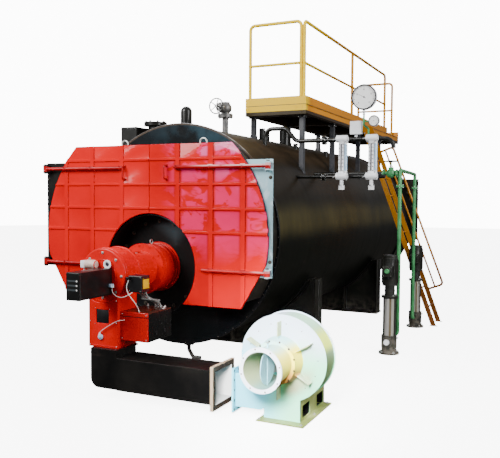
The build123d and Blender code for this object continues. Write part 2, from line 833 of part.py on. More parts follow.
def face_lead():
    """The lead from the plug on the panel's right side, slack below it, up to the damper motor."""
    x, z = PANEL_X[1] + PLUG[0] / 2, BURNER_Z - PLUG_DROP
    face = PANEL_Y[1] - PLUG_SETBACK
    y = face - LEAD_STAND
    start = z - PLUG[2] / 2
    end = (ACTUATOR_X[0] + 50, FRONT_DRUM_FRONT, ACTUATOR_Z[0])
    points = ((x, y, start), (x + 8, y, start - 40), (x + 65, y, start - 88), (x + 130, y, start - 100), end)
    lead = pipe(points, LEAD_R, LEAD_BEND)
    return plug(x, face, z) + clear_of(lead, ACTUATOR_X, ACTUATOR_Y, ACTUATOR_Z)


def motor_lead():
    """The lead from the plug on the damper motor's front down to the control box's lid."""
    x, z = ACTUATOR_X[0] + MOTOR_PLUG[0], ACTUATOR_Z[1] + MOTOR_PLUG[1]
    face = ACTUATOR_Y[0]
    y = face - LEAD_STAND
    start = z - PLUG[2] / 2
    end = (x + 72, face + 50, CONTROL_Z[1])
    points = ((x, y, start), (x - 28, y, start - 65), (x + 8, y, start - 150),
              (x + 68, face + 20, start - 235), end)
    lead = pipe(points, LEAD_R, LEAD_BEND)
    return plug(x, face, z) + clear_of(lead, CONTROL_X, CONTROL_Y, CONTROL_Z)


def pressure_hose():
    """The air pressure hose from the inlet box's nipple to the control box's front."""
    x, z = NIPPLE[0], INLET_BOTTOM + NIPPLE[1]
    face = INLET_Y[0]
    nipple = rod_y(NIPPLE_R, face - NIPPLE_L, face, x, z)
    y = face - LEAD_STAND
    start = z + NIPPLE_R - 1
    end = (CONTROL_X[0] + 50, CONTROL_Y[0], z + 172)
    points = ((x, y, start), (x + 10, y, start + 55), (x + 100, y, z + 145), (x + 208, y, z + 172), end)
    return nipple + clear_of(pipe(points, LEAD_R, LEAD_BEND), CONTROL_X, CONTROL_Y, CONTROL_Z)


def conduit(x):
    """A conduit sloping back from the damper motor's underside to the control box's lid."""
    y, back = ACTUATOR_Y[1] - CONDUIT_IN, CONTROL_Y[1] - CONDUIT_IN
    points = ((x, y, ACTUATOR_Z[0]), (x, y, ACTUATOR_Z[0] - CONDUIT_RISE),
              (x - CONDUIT_SHIFT, back, CONTROL_Z[1] + CONDUIT_RISE), (x - CONDUIT_SHIFT, back, CONTROL_Z[1]))
    return pipe(points, CONDUIT_R, CONDUIT_BEND)


def burner_leads():
    """The conduits from the damper motor to the control box, the two leads and the hose."""
    leads = face_lead() + motor_lead() + pressure_hose()
    for x in CONDUIT_XS:
        leads = leads + conduit(x)
    return leads


# Air duct

def air_duct():
    """The duct under the burner: a riser, a round outer corner and a level run to the right."""
    level = Pos(sum(DUCT_X) / 2, sum(DUCT_Z) / 2) * Rectangle(DUCT_X[1] - DUCT_X[0], DUCT_Z[1] - DUCT_Z[0])
    riser = Pos(sum(RISER_X) / 2, (DUCT_Z[0] + INLET_BOTTOM) / 2)
    side = level + riser * Rectangle(RISER_X[1] - RISER_X[0], INLET_BOTTOM - DUCT_Z[0])
    corner = side.vertices().sort_by(lambda v: v.X + v.Y)[0]
    body = upright(fillet(corner, DUCT_CORNER_R), DUCT_Y[0], DUCT_Y[1] - DUCT_Y[0], 0)
    hollow = block((DUCT_X[1] - DUCT_OPEN_L, DUCT_X[1]), (DUCT_Y[0] + DUCT_WALL, DUCT_Y[1] - DUCT_WALL),
                   (DUCT_Z[0] + DUCT_WALL, DUCT_Z[1] - DUCT_WALL))
    return body - hollow


def duct_frame():
    """The angle frame round the duct's open end."""
    x = (DUCT_X[1] - FRAME_T, DUCT_X[1])
    outer = block(x, grown(DUCT_Y, SEAT + FRAME_W), grown(DUCT_Z, SEAT + FRAME_W))
    return outer - block(grown(x, SEAT), grown(DUCT_Y, SEAT), grown(DUCT_Z, SEAT))


# Fan

def quarter(x_radius, z_radius, start):
    """A quarter of the spiral, counted counter-clockwise from its start angle."""
    return EllipticalCenterArc((0, 0), x_radius, z_radius, start_angle=start, arc_size=90)


def scroll_outline(inset):
    """The spiral of the fan casing with its outlet at the lower left."""
    left, right = SCROLL_LEFT - inset, SCROLL_RIGHT - inset
    top, low, foot = SCROLL_TOP - inset, SCROLL_LOW - inset, SCROLL_FOOT - inset
    spiral = (quarter(right, low, 270), quarter(right, top, 0), quarter(left, top, 90))
    lip = OUTLET_TOP - FAN_Z - inset
    mouth = Polyline((-left, 0), (-left, lip), (-OUTLET_REACH, lip), (-OUTLET_REACH, -foot), (-left / 2, -foot),
                     (0, -low))
    return make_face(Wire([*(arc.edge() for arc in spiral), *mouth.edges()]))


def scroll_body(inset, y0, y1):
    return Pos(FAN_X, 0, 0) * upright(scroll_outline(inset), y0, y1 - y0, FAN_Z)


def fan_housing():
    """The scroll: a band between two side plates that stand proud of it, and the outlet's rim."""
    body = scroll_body(CASING_LIP, FAN_FRONT, FAN_BACK)
    body = body + scroll_body(0, FAN_FRONT, FAN_FRONT + CASING_T)
    body = body + scroll_body(0, FAN_BACK - CASING_T, FAN_BACK)
    foot = FAN_Z - SCROLL_FOOT
    rim = block((OUTLET_X - OUTLET_RIM_T, OUTLET_X), (FAN_FRONT - OUTLET_RIM, FAN_BACK + OUTLET_RIM),
                (foot - OUTLET_RIM, OUTLET_TOP + OUTLET_RIM))
    eye = rod_y(INLET_PIPE_R, FAN_FRONT - SEAT, FAN_FRONT + CASING_EYE_L, FAN_X, FAN_Z)
    wall = CASING_LIP + CASING_T
    mouth = block((OUTLET_X - OUTLET_RIM_T - SEAT, FAN_X - SCROLL_LEFT + SCROLL_LEFT / 4),
                  (FAN_FRONT + CASING_T, FAN_BACK - CASING_T), (foot + wall, OUTLET_TOP - wall))
    return body + rim - eye - mouth


def fan_inlet():
    """The turned inlet: rolled pipe, front rim, collar, the cone onto the casing and its fins."""
    bore = INLET_PIPE_R
    wall = INLET_PIPE_R + INLET_PIPE_WALL
    front, collar, back = INLET_FRONT, COLLAR_Y, FAN_FRONT
    profile = Polygon((bore, front), (INLET_RIM_R, front), (INLET_RIM_R, front + INLET_RIM_T),
                      (wall, front + INLET_RIM_T), (wall, collar), (INLET_RIM_R, collar),
                      (INLET_RIM_R, collar + INLET_RIM_T), (CONE_R[0], collar + INLET_RIM_T),
                      (CONE_R[1], back), (bore, back))
    body = spun_y(profile, FAN_X, FAN_Z)
    fin = block(around(0, FIN_T), (back - FIN_STAND, back), (CONE_R[0], FIN_REACH))
    for k in range(FIN_COUNT):
        body = body + Pos(FAN_X, 0, FAN_Z) * Rot(0, 360 * k / FIN_COUNT, 0) * fin
    reach = INLET_RIM_R + SEAT
    return body - rod_z(DAMPER_SHAFT_R + PIN_CLEARANCE, FAN_Z - reach, FAN_Z + reach, FAN_X, DAMPER_Y)


def inlet_damper():
    """The butterfly plate on its upright shaft, drawn fully open."""
    disc = Pos(FAN_X, DAMPER_Y, FAN_Z) * Rot(0, 90, 0) * Cylinder(DAMPER_R, DAMPER_T)
    reach = INLET_PIPE_R + INLET_PIPE_WALL
    return disc + rod_z(DAMPER_SHAFT_R, FAN_Z - reach, FAN_Z + reach + DAMPER_SHAFT_OUT, FAN_X, DAMPER_Y)


def fan_base():
    """The trestle: foot frame, front panel, windowed sides cut to the casing, and the motor's shelf."""
    x0, x1 = FAN_BASE_X
    y0, y1 = FAN_BASE_Y
    foot = block(FAN_BASE_X, FAN_BASE_Y, (0, FAN_FOOT_T))
    opening = (grown((x0, x1), -FAN_FOOT_W), grown((y0, y1), -FAN_FOOT_W))
    foot = foot - block(*opening, (-1, FAN_FOOT_T + 1))
    left, right = FAN_X - TRESTLE_LEFT, FAN_X + TRESTLE_RIGHT
    shelf_z = FAN_Z - MOTOR_R - MOTOR_FOOT_H
    box_y = (FAN_FRONT, y1 - FAN_FOOT_W / 2)
    box = block((left, right), box_y, (FAN_FOOT_T, shelf_z))
    hollow = (grown((left, right), -TRESTLE_T), grown(box_y, -TRESTLE_T))
    box = box - block(*hollow, (0, shelf_z - TRESTLE_T))
    for start, end in TRESTLE_WINDOWS:
        box = box - block((left - 1, right + 1), (FAN_FRONT + start, FAN_FRONT + end), TRESTLE_WINDOW_Z)
    neck_y = (FAN_FRONT - 1, FAN_BACK + MOTOR_STAND / 2)
    box = box - block((left - 1, right + 1), neck_y, (FAN_Z - TRESTLE_NECK, shelf_z + 1))
    return foot + box - scroll_body(-SEAT, FAN_FRONT - 1, FAN_BACK + SEAT)


def fan_motor():
    y0 = FAN_BACK + MOTOR_STAND
    body = rod_y(MOTOR_R, y0, y0 + MOTOR_L, FAN_X, FAN_Z) + rod_y(MOTOR_SHAFT_R, FAN_BACK, y0, FAN_X, FAN_Z)
    foot_z = FAN_Z - MOTOR_R - MOTOR_FOOT_H
    feet = block(around(FAN_X, 2 * MOTOR_FOOT_W), (y0 + MOTOR_FOOT_IN, y0 + MOTOR_L - MOTOR_FOOT_IN),
                 (foot_z, FAN_Z - MOTOR_R / 2))
    return body + feet


# Top fittings

def lifting_eyes():
    eyes = Part()
    z = AXIS_Z + SMOKEBOX_TOP + SEAT
    for x in (-EYE_X, EYE_X):
        pad = block(around(x, 2 * EYE_PAD[0]), around(EYE_Y, 2 * EYE_PAD[1]), (z, z + EYE_PAD_T))
        ring = Pos(x, EYE_Y, z + EYE_PAD_T / 2 + EYE_R) * Rot(90, 0, 0) * Torus(EYE_R, EYE_BAR)
        below = block(around(x, 4 * EYE_R), around(EYE_Y, 4 * EYE_R), (z - 2 * EYE_R, z))
        eyes = eyes + pad + (ring - below)
    return eyes


def top_nozzles():
    """The domed stub, the blanked nozzle on the left and the probe nozzles on the right."""
    stub_y = FRONT_SHEET_Y + STUB_SETBACK
    dome_z = DRUM_TOP + STUB_H - STUB_R
    stub = rod_z(STUB_R, AXIS_Z, dome_z, 0, stub_y) + Pos(0, stub_y, dome_z) * Sphere(STUB_R)
    nozzle_x, setback = LEFT_NOZZLE
    nozzle_y = FRONT_SHEET_Y + setback
    top = DRUM_TOP + LEFT_NOZZLE_H
    nozzle = rod_z(LEFT_NOZZLE_R, AXIS_Z, top, nozzle_x, nozzle_y)
    nozzle = nozzle + rod_z(LEFT_NOZZLE_RIM_R, *around(top, 2 * LEFT_NOZZLE_RIM_T), nozzle_x, nozzle_y)
    fittings = stub + nozzle
    for x, setback, radius, height in PROBES:
        fittings = fittings + rod_z(radius, AXIS_Z, DRUM_TOP + height, x, FRONT_SHEET_Y + setback)
    return saddled(fittings)


def instrument_box():
    y0, y1 = INSTRUMENT_BOX_SETBACK
    return saddled(block(INSTRUMENT_BOX_X, (FRONT_SHEET_Y + y0, FRONT_SHEET_Y + y1),
                         (AXIS_Z, DRUM_TOP + INSTRUMENT_BOX_H)))


def main_valve():
    """The main steam valve: nozzle, two flanges, globe body and bonnet towards the front."""
    x, y, z = VALVE_X, VALVE_Y, VALVE_FLANGE_Z
    top = z + 2 * VALVE_FLANGE_T
    nozzle = rod_z(VALVE_PIPE_R, AXIS_Z, z, x, y) + rod_z(VALVE_FLANGE_R, z, top, x, y)
    ball = Pos(x, y, VALVE_AXIS_Z) * Sphere(VALVE_BALL_R)
    body = rod_z(VALVE_NECK_R, top, top + VALVE_NECK_H, x, y) + ball
    front = y - BONNET_L
    body = body + rod_y(BONNET_R, front, y, x, VALVE_AXIS_Z)
    body = body + rod_y(BONNET_FLANGE_R, front, front + BONNET_FLANGE_T, x, VALVE_AXIS_Z)
    return saddled(nozzle + body) + rod_y(STEM_R, front - STEM_L, front, x, VALVE_AXIS_Z)


def hand_wheel(radius, rim, bore, spokes=5):
    """A spoked wheel about Z with its hub bored for the stem."""
    ring = revolve(Plane.XZ * Pos(radius - rim, 0) * Circle(rim), axis=Axis.Z)
    hub_r = bore + HUB_WALL
    wheel = Rot(0, 0, RIM_SEAM_TURN) * ring + Cylinder(hub_r, HUB_H)
    start = hub_r - HUB_WALL / 3
    length = radius - rim - start
    for k in range(spokes):
        spoke = Pos(start + length / 2, 0, 0) * Rot(0, 90, 0) * Cylinder(rim * 0.7, length)
        wheel = wheel + Rot(0, 0, 360 * k / spokes) * spoke
    return wheel - Cylinder(bore, 3 * HUB_H)


def valve_wheel():
    wheel = hand_wheel(WHEEL_R, WHEEL_RIM, STEM_R + PIN_CLEARANCE)
    wheel_y = VALVE_Y - BONNET_L - STEM_L + WHEEL_SETBACK
    return Pos(VALVE_X, wheel_y, VALVE_AXIS_Z) * Rot(90, 0, 0) * wheel


# Platform

def support_places():
    return [DECK_Y[0] + SUPPORT_LEAD + pitch for pitch in SUPPORT_PITCHES]


def platform_frame():
    """Two long channels, the end channels and the cross members between them."""
    x0, x1 = DECK_X
    z = (DECK_Z - DECK_T - CHANNEL_H, DECK_Z - DECK_T)
    frame = block((x0, x0 + CHANNEL_W), DECK_Y, z) + block((x1 - CHANNEL_W, x1), DECK_Y, z)
    inside = (x0 + CHANNEL_W + SEAT, x1 - CHANNEL_W - SEAT)
    for middle in (DECK_Y[0] + CHANNEL_W / 2, *support_places(), DECK_Y[1] - CHANNEL_W / 2):
        frame = frame + block(inside, around(middle, CHANNEL_W), z)
    return frame


def platform_deck():
    return block(DECK_X, DECK_Y, (DECK_Z - DECK_T, DECK_Z))


def toe_boards():
    """Boards at the front, the right as far as the ladder end, and the back."""
    right = DECK_X[1]
    y0, y1 = DECK_Y
    z = (DECK_Z, DECK_Z + TOE_H)
    side_y = (y0 + TOE_T + SEAT, POST_YS[-1] + CHANNEL_W)
    side = block((right - TOE_T, right), side_y, z)
    return block(DECK_X, (y0, y0 + TOE_T), z) + side + block(DECK_X, (y1 - TOE_T, y1), z)


def top_rail(start, end):
    """The top rail with its two ends bent down onto the posts."""
    drop = RAIL_TOP - RAIL_BEND - RAIL_TAIL
    points = ((*start, drop), (*start, RAIL_TOP), (*end, RAIL_TOP), (*end, drop))
    return pipe(points, RAIL_R, RAIL_BEND)


def post(x, y):
    return rod_z(RAIL_R, DECK_Z, RAIL_TOP - RAIL_BEND - RAIL_TAIL - SEAT, x, y)


def rail_side():
    x = DECK_X[1] - POST_IN
    first, middle, last = POST_YS
    rail = top_rail((x, first), (x, last)) + post(x, first) + post(x, last)
    middle_post = rod_z(RAIL_R, DECK_Z, RAIL_TOP, x, middle)
    rail = rail + (middle_post - rod_y(RAIL_R + SEAT, first, last, x, RAIL_TOP))
    for start, end in zip(POST_YS, POST_YS[1:]):
        rail = rail + rod_y(MID_RAIL_R, start + RAIL_R + SEAT, end - RAIL_R - SEAT, x, RAIL_MID)
    return rail


def rail_end(y, x0, x1):
    rail = top_rail((x0, y), (x1, y)) + post(x0, y) + post(x1, y)
    return rail + rod_x(MID_RAIL_R, x0 + RAIL_R + SEAT, x1 - RAIL_R - SEAT, y, RAIL_MID)


def end_rails():
    x0 = DECK_X[0] + POST_IN
    x1 = DECK_X[1] - POST_IN
    front = rail_end(POST_YS[0], x0, x1 - 2 * RAIL_R - SEAT)
    return front + rail_end(DECK_Y[1] - POST_IN, x0, x1 - END_RAIL_IN)


def supports():
    """The posts that carry the platform, each on a round foot cut to the drum."""
    posts = Part()
    top = DECK_Z - DECK_T - CHANNEL_H
    foot_r = SUPPORT_FOOT * SUPPORT_W / 2
    for x in (DECK_X[0] + SUPPORT_XS[0], DECK_X[1] - SUPPORT_XS[1]):
        foot_top = above_drum(x + foot_r) + SUPPORT_FOOT_H
        for y in support_places():
            stem = block(around(x, SUPPORT_W), around(y, SUPPORT_W), (AXIS_Z, top))
            posts = posts + saddled(stem + rod_z(foot_r, AXIS_Z, foot_top, x, y))
    return posts


# Ladder

def ladder_point(along, out=0):
    """A point at a distance up the slope from the foot and out from it, in X and Z."""
    x = LADDER_FOOT_X - along * LADDER_COS + out * LADDER_SIN
    return x, along * LADDER_SIN + out * LADDER_COS


def stringer(y):
    half = STRINGER_W / 2 / LADDER_SIN
    shape = Polygon((LADDER_FOOT_X - half, 0), (LADDER_FOOT_X + half, 0),
                    (LADDER_TOP_X + 2 * half, LADDER_TOP_Z), (LADDER_TOP_X, LADDER_TOP_Z))
    return upright(shape, y, STRINGER_T, 0)


def ladder():
    body = stringer(LADDER_Y[0]) + stringer(LADDER_Y[1])
    pitch = LADDER_LEAN / (RUNG_COUNT + 1)
    for k in range(RUNG_COUNT):
        x, z = ladder_point(pitch * (k + 1))
        body = body + rod_y(RUNG_R, LADDER_Y[0], LADDER_Y[1] + STRINGER_T, x + RUNG_OFFSET, z)
    return body


def ladder_handrail():
    """The handrail beside the back stringer, with its mid rail."""
    y = LADDER_Y[1] + STRINGER_T + HANDRAIL_R + SEAT
    low, high = HANDRAIL_LOW, LADDER_LEAN - HANDRAIL_HIGH_DROP
    corners = (ladder_point(low, HANDRAIL_FOOT), ladder_point(low, HANDRAIL_OUT),
               ladder_point(high, HANDRAIL_OUT), ladder_point(high, HANDRAIL_FOOT))
    rail = pipe(tuple((x, y, z) for x, z in corners), HANDRAIL_R, HANDRAIL_BEND)
    x0, z0 = ladder_point(low, HANDRAIL_OUT / 2)
    x1, z1 = ladder_point(high, HANDRAIL_OUT / 2)
    middle = Plane(origin=(x0, y, z0), z_dir=(x1 - x0, 0, z1 - z0)) * Circle(HANDRAIL_MID_R)
    return rail + extrude(middle, amount=hypot(x1 - x0, z1 - z0))


# Water side

def flange_pair(radius, thickness, y, z):
    """Two flanges on a level pipe to the right of the drum."""
    x = SHELL_R + FLANGE_OUT
    second = x + thickness + SEAT
    return rod_x(radius, x, x + thickness, y, z) + rod_x(radius, second, second + thickness, y, z)


def upper_header():
    """The steam leg to the gauges: it rises off the drum, arches over and runs level to the right."""
    x0 = HEADER_START
    low = above_drum(x0) - HEADER_SINK
    high = low + HEADER_RISE
    y, z = HEADER_Y, HEADER_TOP_Z
    points = ((x0, y, low), (x0, y, high), (HEADER_ARCH[0], y, high), (HEADER_ARCH[1], y, z),
              (HEADER_END_X, y, z), (HEADER_END_X, y, z - HEADER_TAIL))
    return saddled(pipe(points, HEADER_R, HEADER_BEND) + flange_pair(HEADER_FLANGE_R, HEADER_FLANGE_T, y, z))


def lower_header():
    y, z = HEADER_Y, HEADER_LOW_Z
    run = rod_x(LOW_HEADER_R, beside_drum(z) - HEADER_SINK, SHELL_R + LOW_HEADER_END, y, z)
    return saddled(run + flange_pair(LOW_FLANGE_R, HEADER_FLANGE_T, y, z))


def level_gauge(x):
    """A reflex level gauge: slotted column, end cocks and the drain cock below."""
    y = GAUGE_Y
    low, high = HEADER_LOW_Z, HEADER_TOP_Z
    front = y - GAUGE_W / 2
    body = block(around(x, GAUGE_W), around(y, GAUGE_W), (low - GAUGE_OVER, high + GAUGE_OVER))
    body = body - block(around(x, SLIT_W), (front - SLIT_DEPTH, front + SLIT_DEPTH),
                        (low + SLIT_MARGIN, high - SLIT_MARGIN))
    for z, header_r in ((low, LOW_HEADER_R), (high, HEADER_R)):
        body = body + rod_x(COCK_R, *around(x, COCK_W), y, z)
        body = body + rod_y(COCK_STEM_R, y, HEADER_Y - header_r - SEAT, x, z)
    drain = low - GAUGE_OVER - DRAIN_L
    return body + rod_z(DRAIN_R, drain, low, x, y) + rod_z(DRAIN_NUT_R, *around(drain, DRAIN_NUT_L), x, y)


def level_gauges():
    gauges = Part()
    low = HEADER_LOW_Z + COCK_R + SEAT
    high = HEADER_TOP_Z - COCK_R - SEAT
    for x in GAUGE_XS:
        glass = rod_z(GLASS_R, low, high, x + GLASS_OUT, GAUGE_Y)
        gauges = gauges + level_gauge(x) + glass
    return gauges


def level_controller():
    """The float switch head on the steam leg."""
    low = HEADER_TOP_Z + HEADER_R + SEAT
    foot = low + CONTROLLER_STEM
    x = (GAUGE_XS[0] + CONTROLLER_X[0], GAUGE_XS[0] + CONTROLLER_X[1])
    head = block(x, (HEADER_Y + CONTROLLER_Y[0], HEADER_Y + CONTROLLER_Y[1]), (foot, foot + CONTROLLER_H))
    return head + rod_z(CONTROLLER_STEM_R, low, foot, sum(x) / 2, HEADER_Y)


def dial_case(radius, rim, front, back, recess, x, z):
    """A round gauge case with its sunk face."""
    return rod_y(radius, front, back, x, z) - rod_y(radius - rim, front - 1, front + recess, x, z)


def pressure_gauges():
    """The large gauge on its stem and the small one on the siphon's branch."""
    front, back = around(DIAL_Y, DIAL_CASE)
    large = dial_case(DIAL_R, DIAL_RIM, front, back, DIAL_RECESS, DIAL_X, DIAL_Z)
    large = large + rod_z(DIAL_STEM_R, DIAL_FOOT, DIAL_Z - DIAL_R + DIAL_RIM / 2, DIAL_X, DIAL_Y)
    small_back = DIAL_Y - BRANCH_R - SEAT
    return large + dial_case(SMALL_DIAL_R, SMALL_DIAL_RIM, small_back - SMALL_DIAL_CASE, small_back,
                             SMALL_DIAL_RECESS, DIAL_X + SMALL_DIAL_OUT, DIAL_FOOT - BRANCH_DROP)


def gauge_siphon():
    """The pressure gauge's siphon pipe with its branch to the small gauge."""
    x, y = DIAL_X, DIAL_Y
    turn = DIAL_FOOT - SIPHON_DROP
    points = ((x, y, DIAL_FOOT), (x, y, turn), (x + SIPHON_SHIFT, HEADER_Y, turn - SIPHON_SHIFT),
              (x + SIPHON_SHIFT, HEADER_Y, HEADER_TOP_Z + HEADER_R + SEAT))
    run = pipe(points, DIAL_STEM_R, SIPHON_BEND)
    return run + rod_x(BRANCH_R, x, x + SMALL_DIAL_OUT, y, DIAL_FOOT - BRANCH_DROP)


def feed_valve():
    x, y, z = FEED_VALVE_X, FEED_Y, FEED_Z
    run = rod_x(FEED_R, beside_drum(z) - HEADER_SINK, RISER_1_X - FEED_R - SEAT, y, z)
    back, ahead = FEED_FLANGE_REACH
    body = Pos(x, y, z) * Sphere(FEED_BALL_R)
    body = body + rod_x(FEED_FLANGE_R, x - back, x - back + FEED_FLANGE_T, y, z)
    body = body + rod_x(FEED_FLANGE_R, x + ahead - FEED_FLANGE_T, x + ahead, y, z)
    bonnet = rod_z(FEED_BONNET_R, z, z + FEED_BONNET_H, x, y)
    return saddled(run + body + bonnet + rod_z(FEED_STEM_R, z + FEED_BONNET_H, z + FEED_STEM_H, x, y))


def feed_wheel():
    wheel = hand_wheel(FEED_WHEEL_R, FEED_WHEEL_RIM, FEED_STEM_R + PIN_CLEARANCE)
    return Pos(FEED_VALVE_X, FEED_Y, FEED_Z + FEED_WHEEL_H) * wheel


def feed_pipes():
    """The two risers from the pumps and the link between their tops, joined at bolted flanges."""
    (pump_1_x, pump_1_y), (pump_2_x, pump_2_y) = PUMPS
    reach = PORT_REACH + SEAT
    x1, y1 = RISER_1_X, FEED_Y
    x2, y2 = pump_2_x, pump_2_y - PORT_REACH - PORT_TAIL
    joint_z = FEED_Z - JOINT_DROP
    first = ((pump_1_x, pump_1_y + reach, PORT_Z), (pump_1_x, y1, PORT_Z), (x1, y1, PORT_Z + RISER_STEP),
             (x1, y1, joint_z))
    second = ((x2, pump_2_y - reach, PORT_Z), (x2, y2, PORT_Z), (x2, y2, joint_z))
    top = FEED_Z + LINK_RISE
    over = ((x1, y1, joint_z + SEAT), (x1, y1, top), (x2, y2, top), (x2, y2, joint_z + SEAT))
    pipes = pipe(first, FEED_R, RISER_BEND) + pipe(second, FEED_R, RISER_BEND)
    pipes = pipes + pipe(over, FEED_R, RISER_BEND)
    for x, y in ((x1, y1), (x2, y2)):
        pipes = pipes + rod_z(JOINT_R, joint_z - JOINT_T, joint_z, x, y)
        pipes = pipes + rod_z(JOINT_R, joint_z + SEAT, joint_z + SEAT + JOINT_T, x, y)
    return pipes


def pump_foot(x, y):
    foot = rod_z(PUMP_BASE_R, 0, PUMP_BASE_T, x, y) + rod_z(PUMP_WAIST_R, PUMP_BASE_T, PUMP_WAIST_Z, x, y)
    foot = foot + rod_z(PUMP_BOWL_R, PUMP_WAIST_Z, PUMP_FOOT_TOP, x, y)
    foot = foot + rod_y(PORT_R, y - PORT_REACH, y + PORT_REACH, x, PORT_Z)
    for end in (y - PORT_REACH, y + PORT_REACH - PORT_FLANGE_T):
        foot = foot + rod_y(PORT_FLANGE_R, end, end + PORT_FLANGE_T, x, PORT_Z)
    return foot


def pump_sleeve(x, y):
    """The stainless sleeve between its tie rods."""
    sleeve = rod_z(SLEEVE_R, PUMP_FOOT_TOP, SLEEVE_TOP, x, y)
    for k in range(TIE_ROD_COUNT):
        turn = radians(360 * (k + 0.5) / TIE_ROD_COUNT)
        rod_x_place, rod_y_place = x + TIE_RING_R * cos(turn), y + TIE_RING_R * sin(turn)
        sleeve = sleeve + rod_z(TIE_ROD_R, PUMP_FOOT_TOP, SLEEVE_TOP, rod_x_place, rod_y_place)
    return sleeve


def pump_motor(x, y):
    """The pump's stool and neck, the upright motor with its cowl, and the terminal box."""
    adapter = SLEEVE_TOP + STOOL_H
    motor_z = adapter + ADAPTER_T
    cowl_z = motor_z + PUMP_MOTOR_L
    body = rod_z(STOOL_R, SLEEVE_TOP, SLEEVE_TOP + STOOL_T, x, y)
    body = body + rod_z(STOOL_NECK_R, SLEEVE_TOP + STOOL_T, adapter, x, y)
    body = body + rod_z(ADAPTER_R, adapter, motor_z, x, y) + rod_z(PUMP_MOTOR_R, motor_z, cowl_z, x, y)
    body = body + rod_z(COWL_R, cowl_z, cowl_z + COWL_L, x, y)
    box_z = motor_z + TERMINAL_RISE
    return body + block(around(x, TERMINAL_W), (y - TERMINAL_OUT[1], y - TERMINAL_OUT[0]),
                        (box_z, box_z + TERMINAL_H))


def drain_pipe():
    """The drain below the drum: flange, and the pipe that turns down and away."""
    x, y = DRAIN_X, FRONT_SHEET_Y + DRAIN_SETBACK
    z = AXIS_Z - SHELL_R
    near, far = DRAIN_RUN
    points = ((x, y, z + 2 * DRAIN_PIPE_R), (x, y, DRAIN_TURN_Z), (x + near, y - DRAIN_SHIFT, DRAIN_LOW_Z),
              (x + far, y - DRAIN_SHIFT, DRAIN_LOW_Z))
    flange_top = z - DRAIN_FLANGE_DROP
    ring = rod_z(DRAIN_FLANGE_R, flange_top - DRAIN_FLANGE_T, flange_top, x, y)
    return saddled(pipe(points, DRAIN_PIPE_R, DRAIN_BEND) + ring)


def pair(maker):
    """The same piece for both feed pumps."""
    return maker(*PUMPS[0]) + maker(*PUMPS[1])


parts = {
    "shell": shell(),
    "front_tubesheet": tubesheet(),
    "rear_tubesheet": mirrored(tubesheet()),
    "front_smokebox": smokebox(True),
    "front_flange": flange(True),
    "hinge_plate_left": hinge_plate(-1),
    "hinge_plate_right": hinge_plate(1),
    "burner_throat": burner_throat(),
    "burner_plate": burner_plate(),
    "rear_smokebox": mirrored(smokebox(False)),
    "rear_flange": mirrored(flange(False)),
    "rear_cover": rear_cover(),
    "front_saddle": saddle(0),
    "rear_saddle": saddle(SADDLE_SPAN),
    "door_left": door(-1),
    "door_right": door(1),
    "door_bars_left": door_bars(-1),
    "door_bars_right": door_bars(1),
    "door_handle_left": door_handle(HANDLE_XS[0]),
    "door_handle_right": door_handle(HANDLE_XS[1]),
    "burner_rear_drum": burner_rear_drum(),
    "burner_neck": burner_neck(),
    "burner_front_drum": burner_front_drum(),
    "air_inlet_box": air_inlet_box(),
    "control_box": control_box(),
    "panel_box": panel_box(),
    "actuator": actuator(),
    "burner_leads": burner_leads(),
    "air_duct": air_duct(),
    "duct_frame": duct_frame(),
    "fan_housing": fan_housing(),
    "fan_inlet": fan_inlet(),
    "inlet_damper": inlet_damper(),
    "fan_base": fan_base(),
    "fan_motor": fan_motor(),
    "lifting_eyes": lifting_eyes(),
    "top_nozzles": top_nozzles(),
    "instrument_box": instrument_box(),
    "main_valve": main_valve(),
    "main_valve_wheel": valve_wheel(),
    "platform_frame": platform_frame(),
    "platform_deck": platform_deck(),
    "toe_boards": toe_boards(),
    "rail_side": rail_side(),
    "end_rails": end_rails(),
    "supports": supports(),
    "ladder": ladder(),
    "ladder_handrail": ladder_handrail(),
    "gauge_headers": upper_header() + lower_header(),
    "level_gauges": level_gauges(),
    "level_controller": level_controller(),
    "pressure_gauges": pressure_gauges(),
    "gauge_siphon": gauge_siphon(),
    "feed_valve": feed_valve(),
    "feed_valve_wheel": feed_wheel(),
    "feed_pipes": feed_pipes(),
    "pump_feet": pair(pump_foot),
    "pump_sleeves": pair(pump_sleeve),
    "pump_motors": pair(pump_motor),
    "drain_pipe": drain_pipe(),
}

os.makedirs("parts", exist_ok=True)
for name, piece in parts.items():
    export_step(piece, f"parts/{name}.step")
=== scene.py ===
import json
from itertools import product
from math import cos, hypot, pi, radians, sin, sqrt

import bmesh
import bpy
from mathutils import Matrix, Vector


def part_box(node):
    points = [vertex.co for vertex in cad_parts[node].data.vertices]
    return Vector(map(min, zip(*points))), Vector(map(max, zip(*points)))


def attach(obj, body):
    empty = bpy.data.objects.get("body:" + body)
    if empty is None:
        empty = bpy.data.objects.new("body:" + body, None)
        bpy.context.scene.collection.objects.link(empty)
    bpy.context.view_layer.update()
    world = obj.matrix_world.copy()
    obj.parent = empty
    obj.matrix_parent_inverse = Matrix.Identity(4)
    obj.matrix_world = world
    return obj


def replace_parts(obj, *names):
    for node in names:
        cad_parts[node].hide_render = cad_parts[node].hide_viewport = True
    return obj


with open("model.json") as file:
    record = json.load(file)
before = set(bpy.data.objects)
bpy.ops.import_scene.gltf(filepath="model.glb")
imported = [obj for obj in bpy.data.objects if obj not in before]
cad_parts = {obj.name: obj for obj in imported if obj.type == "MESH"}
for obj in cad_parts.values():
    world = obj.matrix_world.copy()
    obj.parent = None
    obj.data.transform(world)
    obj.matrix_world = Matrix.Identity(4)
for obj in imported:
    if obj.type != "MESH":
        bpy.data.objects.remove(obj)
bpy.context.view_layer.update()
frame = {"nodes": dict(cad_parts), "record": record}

RIGHT = Vector((1, 0, 0))
BACK = Vector((0, 1, 0))
UP = Vector((0, 0, 1))

